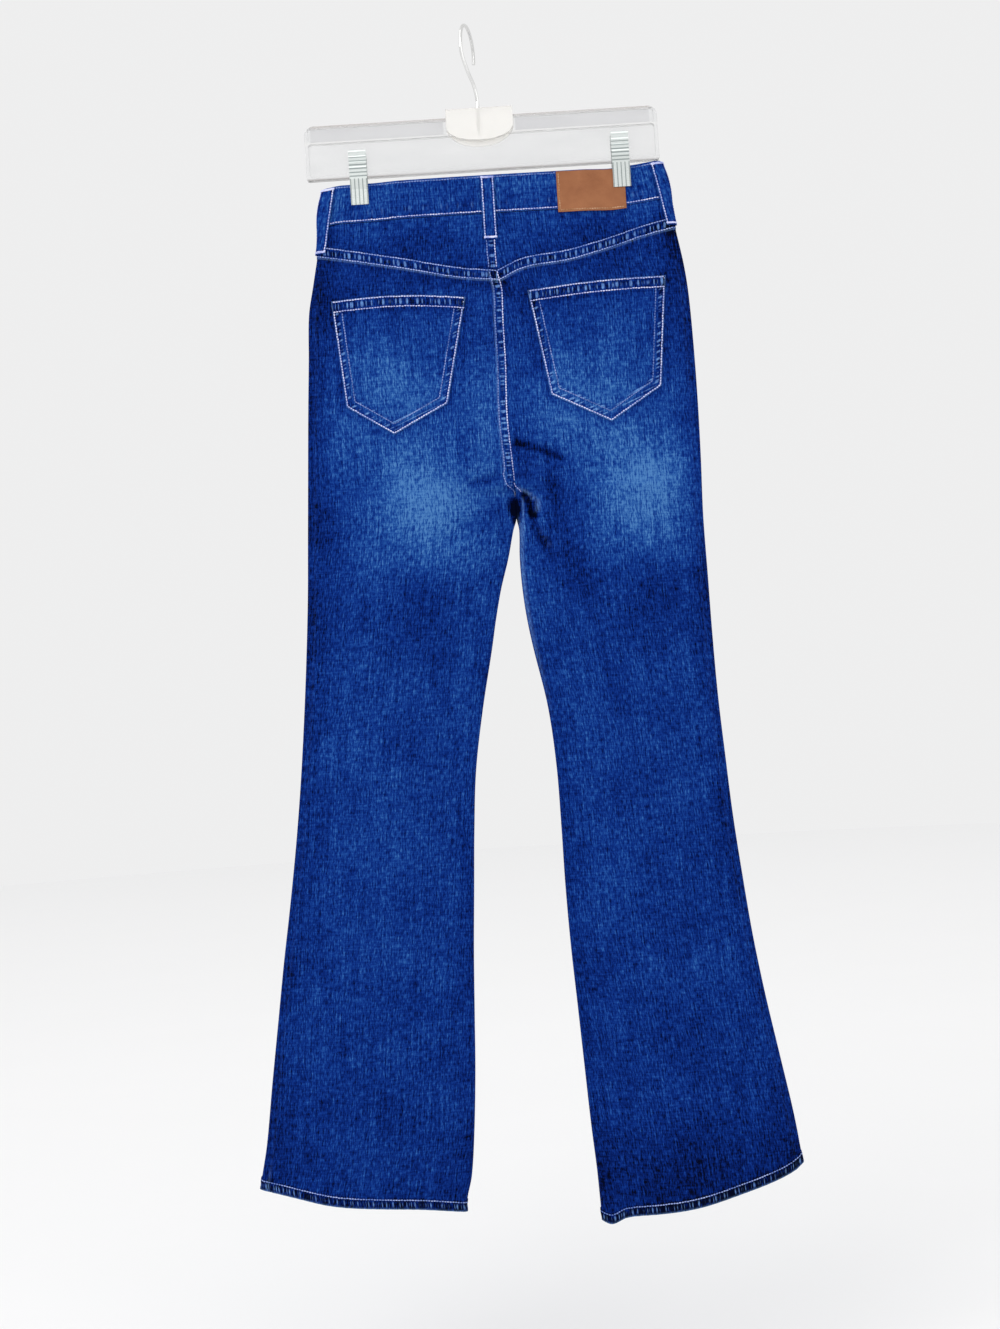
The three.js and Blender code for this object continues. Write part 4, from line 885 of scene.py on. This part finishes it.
def pocketSteps(leg):
    pocket = pockets[leg]
    tip = (pocket["tip"][0] - pocket["low"][0][0]) / (pocket["low"][1][0] - pocket["low"][0][0])
    near = [0, 0.004, 0.011, 0.02]
    left = near + list(np.linspace(0.03, tip, 36))
    right = list(np.linspace(tip, 0.97, 36))[1:] + [1 - part for part in reversed(near)]
    height = pocket["corners"][0][1] - pocket["tip"][1]
    down = [0, 0.5 / height, 1.3 / height] + list(np.linspace(2.4 / height, 18 / height, 13))
    down += list(np.linspace(18 / height, 0.985, 60))[1:] + [0.993, 1.0]
    return left + right, down


for leg in (-1, 1):
    shares, downs = pocketSteps(leg)
    pocketPiece = clothGrid("denim_pocket_" + sideName[leg], shares, downs,
                            lambda across, down, leg=leg: layPocket(leg, across, down))
    finishCloth(pocketPiece, denimOut, denimOut, wall=patchPocket["wall"] - 0.1)
    sewOn(pocketPiece, "back_pocket_" + sideName[leg])


# Front pocket facings
def layFacing(leg, columns, down):
    drop = down * scoop["facingDepth"]
    z = garment["bandBottom"] - drop
    for _ in range(4):
        x = xAt(leg, columns, z)
        z = underBand(x) - drop
    points, normals = skin(leg, 1, columns, z)
    reach = np.hypot(share(leg, x, z) / scoop["reach"], drop / scoop["depth"])
    points = points - normals * (2.1 * ease(reach, 0.6, 0.86))[:, None]  # tucked under the front panel
    points[:, 1] = np.maximum(points[:, 1], garment["halfGap"])
    grain = np.stack([x + 1800, -z + 12000], -1)
    return {"points": points, "grain": grain, "wash": washAt(1, x, z) - 0.12, "run": z * mm}


for leg in (-1, 1):
    bends, width = panel["foldArcs"], float(legWidth(leg, -260)) * 0.66
    facing = clothGrid("denim_facing_" + sideName[leg], bends + evenly(bends[-1], width, 3)[1:],
                       list(np.linspace(0, 1, 32)), lambda c, down, leg=leg: layFacing(leg, c, down),
                       turned=leg < 0)
    finishCloth(facing, denimOut, denimIn, wall=1.1)
    sewOn(facing, "pocket_facing_" + sideName[leg])


# Waistband, a closed tube of doubled cloth that runs round and overlaps at the front
waistband = {
    "outer": 0.8, "inner": -2.2, "edgeRound": 1.2, "overlap": 22, "underlap": 18, "under": 3.3, "diveAt": 42,
}
bandMiddle = (garment["bandTop"] + garment["bandBottom"]) / 2


def bandStations():  # face, x, and how far the strip has gone under, once round from the centre front
    left, right, centre = (float(x) for x in (outerX(-1, bandMiddle), outerX(1, bandMiddle), centreX(bandMiddle)))
    folds = [insetOf(arc) for arc in np.linspace(0, quarterFold, 7)]
    stations = [(1, x, 0.0) for x in evenly(centre + waistband["overlap"], left + 5, 3.2)[:-1]]
    stations += [(1, left + inset, 0.0) for inset in reversed(folds)]
    stations += [(-1, left + inset, 0.0) for inset in folds[1:]]
    stations += [(-1, x, 0.0) for x in evenly(left + 5, right - 5, 3.0)[1:-1]]
    stations += [(-1, right - inset, 0.0) for inset in reversed(folds)]
    stations += [(1, right - inset, 0.0) for inset in folds[1:]]
    dive = centre + waistband["diveAt"]  # from here on it goes down under the other end
    stations += [(1, x, 0.0) for x in evenly(right - 5, dive, 3.2)[1:]]
    stations += [(1, x, float(ease(x, dive, dive - 17))) for x in evenly(dive - 2, dive - 18, 2)]
    stations += [(1, x, 1.0) for x in evenly(dive - 19, centre - waistband["underlap"], 3.2)]
    return stations


def bandProfile():  # offset and height round the section, from the inner foot up, over and down
    top, low = garment["bandTop"], garment["bandBottom"]
    out, into, r = waistband["outer"], waistband["inner"], waistband["edgeRound"]
    inner = [(into, z, 0) for z in evenly(low + r, top - r, 6)]
    over = [(into + r - r * cos(a), top - r + r * sin(a), 0.6 * sin(a)) for a in np.linspace(0.3, pi / 2, 4)]
    over += [(out - r + r * sin(a), top - r + r * cos(a), 0.6 * cos(a)) for a in np.linspace(0.3, pi / 2 - 0.3, 3)]
    face = [(out, z, 0) for z in evenly(top - r, low + r, 1.6)]
    under = [(out - r + r * cos(a), low + r - r * sin(a), 0.5) for a in np.linspace(0.5, pi / 2, 3)]
    under += [(into + r - r * sin(a), low + r - r * cos(a), 0.2) for a in np.linspace(0.3, pi / 2, 3)]
    return inner + over + face + under


def layBand(station, ring):
    stations, profile = np.array(bandStations()), np.array(bandProfile())
    face, x, under = stations[station.astype(int)].T
    offset, z, rub = profile[ring.astype(int)].T
    travel = np.concatenate([[0], np.cumsum(np.hypot(*np.diff(stations[:, :2], axis=0).T) + 0.01)])
    height = z + along(bandRise, x)
    points, normals = np.empty((len(x), 3)), np.empty((len(x), 3))
    for leg in (-1, 1):
        own = (x < centreX(bandMiddle)) == (leg < 0)
        inset = abs(x - outerX(leg, bandMiddle))
        place = np.where(inset < 45, outerX(leg, height) - leg * inset, x)
        for side in (-1, 1):
            pick = own & (face == side)
            arc = arcAt(leg, place[pick], height[pick])
            points[pick], normals[pick] = skin(leg, side, arc, height[pick])
    normals[:, 2] = 0
    lowPucker = bell(z + 206, 8) * (offset > 0)
    wave = 0.16 * np.sin(x * 2 * pi / 8.3 + 1.5 * np.sin(x / 17)) * lowPucker
    points = points + unit(normals) * (offset - under * waistband["under"] + wave)[:, None]
    run = travel[station.astype(int)]
    band = lowPucker * 0.36 * (offset > 0.5)
    wash = washAt(-1, x, z) + 0.04 * np.sin(x / 31)
    wash = np.where(abs(z + 214) < 3, wash - 0.06, wash)
    grain = np.stack([x + face * 600, -z + 15000], -1)
    return {"points": points, "grain": grain, "wash": wash, "band": band, "edge": rub * 0.22, "run": run * mm}


def closeTube(piece, material):  # the ends are joined or capped, and the skin turned outwards
    activate(piece)
    bpy.ops.object.mode_set(mode="EDIT")
    bpy.ops.mesh.select_all(action="SELECT")
    bpy.ops.mesh.remove_doubles(threshold=0.00002)
    bpy.ops.mesh.select_all(action="DESELECT")
    bpy.ops.mesh.select_mode(type="EDGE")
    bpy.ops.mesh.select_non_manifold(extend=False, use_wire=False, use_multi_face=False, use_non_contiguous=False,
                                     use_verts=False)
    bpy.ops.mesh.edge_face_add()
    bpy.ops.mesh.select_all(action="SELECT")
    bpy.ops.mesh.normals_make_consistent(inside=False)
    bpy.ops.object.mode_set(mode="OBJECT")
    piece.data.materials.append(material)
    smoothSkin(piece)


bandCount, ringCount = len(bandStations()), len(bandProfile())
band = clothGrid("denim_waistband", list(range(bandCount)), list(range(ringCount)) + [0], layBand)
closeTube(band, denimOut)
sewOn(band, "waistband")


# Belt loops, patch and fly: small tubes of cloth laid over the rest
def sectionRing(width, wall, spacing):  # across and up, once round a flat strip with soft edges
    half, r = width / 2, wall / 2
    over = evenly(-half + r, half - r, spacing)
    ring = [(s, wall) for s in over]
    ring += [(half - r + r * sin(a), r + r * cos(a)) for a in np.linspace(0.6, pi - 0.6, 3)]
    ring += [(s, 0.0) for s in reversed(over)]
    ring += [(-half + r - r * sin(a), r - r * cos(a)) for a in np.linspace(0.6, pi - 0.6, 3)]
    return ring


loopStrip = {"width": 15.4, "wall": 1.6, "top": -174.5, "low": -247}
loopPath = [(-174.5, 1.1), (-180, 1.2), (-190, 2.6), (-204, 3), (-214, 2.2), (-221, 1.4), (-234, 1.1), (-247, 1.1)]
beltLoops = {
    "back": {"face": -1, "x": 13.5}, "front_left": {"face": 1, "x": -62}, "front_right": {"face": 1, "x": 98},
    "side_left": {"leg": -1, "lean": (9, 4.5)}, "side_right": {"leg": 1, "lean": (8, 5)},
}


def loopSkin(loop, s, z):
    if "face" in loop:
        x = loop["x"] + s
        height = z + along(bandRise, x)
        return skinX(loop["face"], x, height)
    leg = loop["leg"]
    travel = s + blend(loop["lean"][0], loop["lean"][1], (loopStrip["top"] - z) / 72)
    inset = insetOf(abs(travel))
    height = z + along(bandRise, outerX(leg, z) - leg * inset)
    points, normals = np.empty((len(z), 3)), np.empty((len(z), 3))
    for face, pick in ((-1, travel >= 0), (1, travel < 0)):
        points[pick], normals[pick] = skin(leg, face, abs(travel[pick]), height[pick])
    return points, normals


def layLoop(loop, ring, index, z):
    s, up = np.array(ring)[index.astype(int)].T
    points, normals = loopSkin(loop, s, z)
    lift = along(loopPath, z) + up
    grain = np.stack([s + 40, -z + 20000], -1)
    wash = 0.52 + 0.22 * bell(z + 205, 22) - 0.32 * bell(abs(s) - 4.6, 1.2)
    return {"points": points + normals * lift[:, None], "grain": grain, "band": 0.3 * bell(s, 3),
            "wash": wash, "edge": 0.25 * bell(abs(s) - 7, 0.7), "run": z * mm}


for name, loop in beltLoops.items():
    ring = sectionRing(loopStrip["width"], loopStrip["wall"], 1.1)
    heights = evenly(loopStrip["top"], loopStrip["low"], 1.6)
    piece = clothGrid("denim_loop_" + name, list(range(len(ring))) + [0], heights,
                      lambda index, z, loop=loop, ring=ring: layLoop(loop, ring, index, z))
    closeTube(piece, denimOut)
    sewOn(piece, "belt_loop_" + name)

patchPiece = {"left": 92.5, "right": 171.5, "top": -173.8, "low": -220.5, "wall": 1.2, "off": 1.1}
patchRing = sectionRing(patchPiece["right"] - patchPiece["left"], patchPiece["wall"], 2.2)


def layPatch(index, z):
    s, up = np.array(patchRing)[index.astype(int)].T
    x = (patchPiece["left"] + patchPiece["right"]) / 2 + s
    height = z + along(bandRise, x)
    points, normals = skinX(-1, x, height)
    points = points + normals * (patchPiece["off"] + up)[:, None]
    return {"points": points, "grain": np.stack([x, -z], -1), "run": z * mm}


patch = clothGrid("leather_patch", list(range(len(patchRing))) + [0],
                  evenly(patchPiece["top"], patchPiece["low"], 2), layPatch)
closeTube(patch, leather)
sewOn(patch, "patch")

flyFlap = {"width": 34, "height": 158, "off": 1.0, "wall": 1.2}


def flyPlace(down, reach):  # reach is measured from the centre, and the flap rounds off at its foot
    z = garment["bandBottom"] - 0.8 - down * flyFlap["height"]
    narrow = np.sqrt(np.maximum(0, 1 - np.maximum(0, (down - 0.78) / 0.22) ** 2)) * 0.9 + 0.1
    return centreX(z) - reach * narrow + 1, z


def layFly(part, down):
    x, z = flyPlace(down, flyFlap["width"] * part)
    points, normals = skinX(1, x, z)
    points = points + normals * (flyFlap["off"] + flyFlap["wall"])
    grain = np.stack([x + 2600, -z + 24000], -1)
    edge = 0.4 * bell(part * flyFlap["width"], 1.2)
    return {"points": points, "grain": grain, "wash": washAt(1, x, z), "edge": edge, "run": z * mm}


flyPiece = clothGrid("denim_fly", list(np.linspace(0, 1, 18)), list(np.linspace(0, 1, 60)), layFly)
finishCloth(flyPiece, denimOut, denimOut, wall=flyFlap["wall"])
sewOn(flyPiece, "fly")
print("cloth laid")

# Stitching
stitch = {"pitch": 3.1, "length": 2.9, "width": 1.5, "height": 0.8, "drift": 0.12, "hemRow": 10.5}


def oneStitch():
    bpy.ops.object.select_all(action="DESELECT")
    bpy.ops.mesh.primitive_uv_sphere_add(segments=6, ring_count=5, radius=1, rotation=(0, pi / 2, 0))
    seed = bpy.context.object
    bpy.ops.object.mode_set(mode="EDIT")
    bpy.ops.mesh.select_all(action="SELECT")
    bpy.ops.transform.resize(value=(stitch["length"] / 2, stitch["width"] / 2, stitch["height"] / 2))
    bpy.ops.object.mode_set(mode="OBJECT")
    bpy.ops.object.transform_apply(location=True, rotation=True, scale=True)
    points = np.array([v.co[:] for v in seed.data.vertices])
    faces = [tuple(p.vertices) for p in seed.data.polygons]
    bpy.data.objects.remove(seed)
    return points, faces


stitchPoints, stitchFaces = oneStitch()


def sew(name, rows, material, pitch=None):
    pitch = pitch or stitch["pitch"]
    allPoints, allFaces = [], []
    for line, normals in rows:
        travel = np.concatenate([[0], np.cumsum(np.linalg.norm(np.diff(line, axis=0), axis=1))])
        count = max(1, int(travel[-1] / pitch))
        spots = (np.arange(count) + 0.5) * travel[-1] / count
        centre, ahead, behind, up = (
            np.stack([np.interp(spots + shift, travel, values[:, k]) for k in range(3)], -1)
            for values, shift in ((line, 0), (line, 1), (line, -1), (normals, 0)))
        tangent = unit(ahead - behind)
        side = unit(np.cross(up, tangent))
        up = np.cross(tangent, side)
        centre = centre + side * rng.normal(0, stitch["drift"], (count, 1)) + up * 0.1
        for n in range(count):
            base = len(allPoints) * len(stitchPoints)
            turned = (stitchPoints[:, :1] * tangent[n] + stitchPoints[:, 1:2] * side[n]
                      + stitchPoints[:, 2:] * up[n])
            allPoints.append(turned + centre[n])
            allFaces += [tuple(base + k for k in face) for face in stitchFaces]
    mesh = bpy.data.meshes.new(name)
    mesh.from_pydata((np.concatenate(allPoints) * mm).tolist(), [], allFaces)
    mesh.materials.append(material)
    piece = bpy.data.objects.new(name, mesh)
    bpy.context.scene.collection.objects.link(piece)
    activate(piece)
    bpy.ops.object.shade_smooth()
    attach(piece, "root")
    print("sewed", name, len(allPoints), "stitches")
    return piece


def rowOn(leg, face, arcs, heights, lift):
    points, normals = skin(leg, face, np.asarray(arcs, float), np.asarray(heights, float))
    return points + normals * lift, normals


def rowByX(face, xs, heights, lift):
    points, normals = skinX(face, np.asarray(xs, float), np.asarray(heights, float))
    return points + normals * lift, normals


def straight(a, b):
    count = max(2, int(np.hypot(b[0] - a[0], b[1] - a[1]) / 1.5))
    return np.linspace(a[0], b[0], count), np.linspace(a[1], b[1], count)


def joinRows(first, second):
    return tuple(np.concatenate(parts) for parts in zip(first, second))


seatFeet = {1.4: [(22.4, -524), (24.4, -530), (30, -536)], 11.9: [(10.8, -517), (13.6, -527), (23, -536.5)]}
yokeRows = []
for inset, foot in seatFeet.items():
    z = np.arange(-284, foot[0][1] + 6, -1.5)
    down = rowOn(-1, -1, legWidth(-1, z) - inset, z, garment["fell"])
    bend = np.linspace(0, 1, 14)
    x, z = (np.interp(bend, [0, 0.45, 1], [point[k] for point in foot]) for k in (0, 1))
    rows = [joinRows(down, rowByX(-1, x, z, garment["fell"]))]
    z = np.arange(-218, -280, -1.5)
    rows.append(rowOn(-1, -1, legWidth(-1, z) - inset, z, garment["fell"]))
    sew(*(("stitching_seat", rows, thread) if inset < 5 else ("stitching_seat_worn", rows, wornThread)))
for leg in (-1, 1):
    for drop in (1.5, 12.0):
        arcs = np.arange(3, float(legWidth(leg, -270)) - (1.5 if leg < 0 else 0.5), 1.5)
        z = np.full(len(arcs), -262.0)
        for _ in range(4):
            arcsNow = arcs * legWidth(leg, z) / legWidth(leg, -270)
            z = along(yokeSeams[leg], share(leg, xAt(leg, arcsNow, z), z)) - drop
        yokeRows.append(rowOn(leg, -1, arcsNow, z, garment["fell"]))
sew("stitching_yoke", yokeRows, yokeThread)

for leg in (-1, 1):
    for inset, kind, rowThread in ((1.5, "", thread), (10.5, "_worn", wornThread)):
        rows = []
        outline = pocketOutline(leg, inset)
        for a, b in zip(outline, outline[1:]):
            x, z = straight(a, b)
            (leftX, _), (rightX, _) = pockets[leg]["corners"]
            across = np.clip((x - leftX) / (rightX - leftX), 0, 1)
            keep = z < pocketPlace(leg, across, 0.0)[1] - (1 if inset < 5 else pocketHem)
            if keep.sum() > 2:
                rows.append(rowByX(-1, x[keep], z[keep], 1.75))
        if not kind:
            across = np.linspace(0.012, 0.988, 100)
            x, z = pocketPlace(leg, across, np.zeros(100))
            rows += [rowByX(-1, x, z - drop, 2.3) for drop in (1.4, 12.8)]
        sew("stitching_pocket_" + sideName[leg] + kind, rows, rowThread)

hemRows = []
for leg in (-1, 1):
    for face in (-1, 1):
        rise = stitch["hemRow"] + (panel["frontHemRise"] if face > 0 else 0)
        part = np.linspace(0.002, 0.998, 160)
        z = along(hems[leg], part) + rise
        arcs = part * legWidth(leg, z)
        z = along(hems[leg], share(leg, xAt(leg, arcs, z), z)) + rise
        hemRows.append(rowOn(leg, face, arcs, z, garment["fell"]))
sew("stitching_hems", hemRows, yokeThread)

for height, kind, rowThread in ((garment["bandTop"] - 2.6, "_worn", wornThread),
                                (garment["bandBottom"] + 2.2, "", thread)):
    bandRows = []
    for leg in (-1, 1):
        for face in (-1, 1):
            z = np.full(200, height)
            arcs = np.linspace(0, 1, 200) * legWidth(leg, z)
            x = xAt(leg, arcs, z)
            z = z + along(bandRise, x)
            bandRows.append(rowOn(leg, face, arcs, z, waistband["outer"] + 0.05))
    sew("stitching_waistband" + kind, bandRows, rowThread)



def rowOnLoop(loop, s, z):
    points, normals = loopSkin(loop, s, z)
    return points + normals * (along(loopPath, z) + loopStrip["wall"])[:, None], normals


loopRows, tackRows = [], []
for loop in beltLoops.values():
    z = np.arange(-176.5, -246, -1.5)
    loopRows += [rowOnLoop(loop, np.full(len(z), s), z) for s in (-6.1, 6.1)]
    for z in (-176.1, -175.1, -245.3, -244.3):
        tackRows.append(rowOnLoop(loop, np.linspace(-7.2, 7.2, 12), np.full(12, z)))
sew("stitching_loops", loopRows, thread)
sew("bartacks", tackRows, thread, pitch=1.8)

patchRows = []
for a, b in (((95, -176), (95, -218)), ((95, -218.2), (169, -218.2))):
    x, z = straight(a, b)
    patchRows.append(rowByX(-1, x, z + along(bandRise, x), patchPiece["off"] + patchPiece["wall"]))
sew("stitching_patch", patchRows, tanThread, pitch=2.9)

frontRows = []
for inset in (2.0, 9.0):
    x, z = flyPlace(np.linspace(0.01, 0.97, 90), flyFlap["width"] - inset)
    frontRows.append(rowByX(1, x, z, flyFlap["off"] + flyFlap["wall"]))
z = np.arange(-220, garment["crotch"] + 20, -1.5)
frontRows.append(rowOn(1, 1, legWidth(1, z) - 2.0, z, 0))
for leg in (-1, 1):
    for inset in (2.0, 8.5):
        part = np.linspace(0.02, 0.54, 80)
        z = np.full(80, -250.0)
        for _ in range(4):
            x = blend(outerX(leg, z), innerX(leg, z), part)
            z = underBand(x) - scoopDrop(part) - inset
        frontRows.append(rowOn(leg, 1, arcAt(leg, x, z), z, 0))
sew("stitching_front", frontRows, thread)

# Floor, light and camera
studio = {
    "floorHeight": -1.60, "floorHalf": 7.5, "background": 0.858, "keyPower": 26, "fillPower": 8, "topLight": 0.62,
}
bpy.ops.object.select_all(action="DESELECT")
bpy.ops.mesh.primitive_circle_add(vertices=96, radius=studio["floorHalf"], fill_type="NGON",
                                  location=(0, 0, studio["floorHeight"]))
floor = bpy.context.object
floor.name = "studio_floor"
floorPaint, floorTree, floorShader = newMaterial("floor_paint", 0.95, specular=0.05, colour=(0.86, 0.86, 0.86))
floorPlace = onPiece(floorTree)
fromMiddle = addNode(floorTree, "VectorMath", {"operation": "LENGTH"}, i0=floorPlace).outputs["Value"]
# painted fall-off: the floor is painted darker towards its far edge, standing in for light that fades with
# distance
paintedFalloff = span(floorTree, fromMiddle, 2.5, studio["floorHalf"])
uneven = noise(floorTree, floorPlace, 3.0, 2.0, 0.5)
nearby = mixColour(floorTree, uneven, (0.855, 0.855, 0.857), (0.87, 0.87, 0.872))
floorTree.links.new(mixColour(floorTree, paintedFalloff, nearby, (0.805, 0.805, 0.807)), floorShader.inputs["Base Color"])
floor.data.materials.append(floorPaint)

world = bpy.context.scene.world or bpy.data.worlds.new("World")
bpy.context.scene.world = world
world.use_nodes = True
sky = world.node_tree.nodes["Background"]
sky.inputs[0].default_value = (studio["background"],) * 2 + (studio["background"] * 1.002, 1)
sky.inputs[1].default_value = 1.0


def softLight(name, place, target, size, power):  # an area lamp turned to face its target
    bpy.ops.object.light_add(type="AREA", location=place)
    light = bpy.context.object
    light.name = name
    light.data.size = size
    light.data.energy = power
    light.rotation_euler = (Vector(target) - Vector(place)).to_track_quat("-Z", "Y").to_euler()


bpy.ops.object.light_add(type="SUN", location=(0, -1, 3), rotation=(radians(18), radians(-8), 0))
topLight = bpy.context.object
topLight.name = "top_light"
topLight.data.energy = studio["topLight"]
topLight.data.angle = radians(60)
softLight("key_light", (-1.7, -2.4, 1.0), (0, 0, -0.6), 2.2, studio["keyPower"])
softLight("fill_light", (2.2, -2.2, -0.2), (0, 0, -0.8), 2.0, studio["fillPower"])

cameraPlace = {"aimX": -0.0065, "aimZ": -0.733, "distance": 2.4, "frameHeight": 1.528, "roll": 3.6}
bpy.ops.object.camera_add(location=(cameraPlace["aimX"], -cameraPlace["distance"], cameraPlace["aimZ"]))
camera = bpy.context.object
camera.name = "camera"
turn = Matrix.Rotation(radians(90), 4, "X") @ Matrix.Rotation(radians(-cameraPlace["roll"]), 4, "Z")
camera.rotation_euler = turn.to_euler()
camera.data.sensor_fit = "VERTICAL"
camera.data.sensor_height = 36
camera.data.lens = 36 * cameraPlace["distance"] / cameraPlace["frameHeight"]
bpy.context.scene.camera = camera
print("studio set")
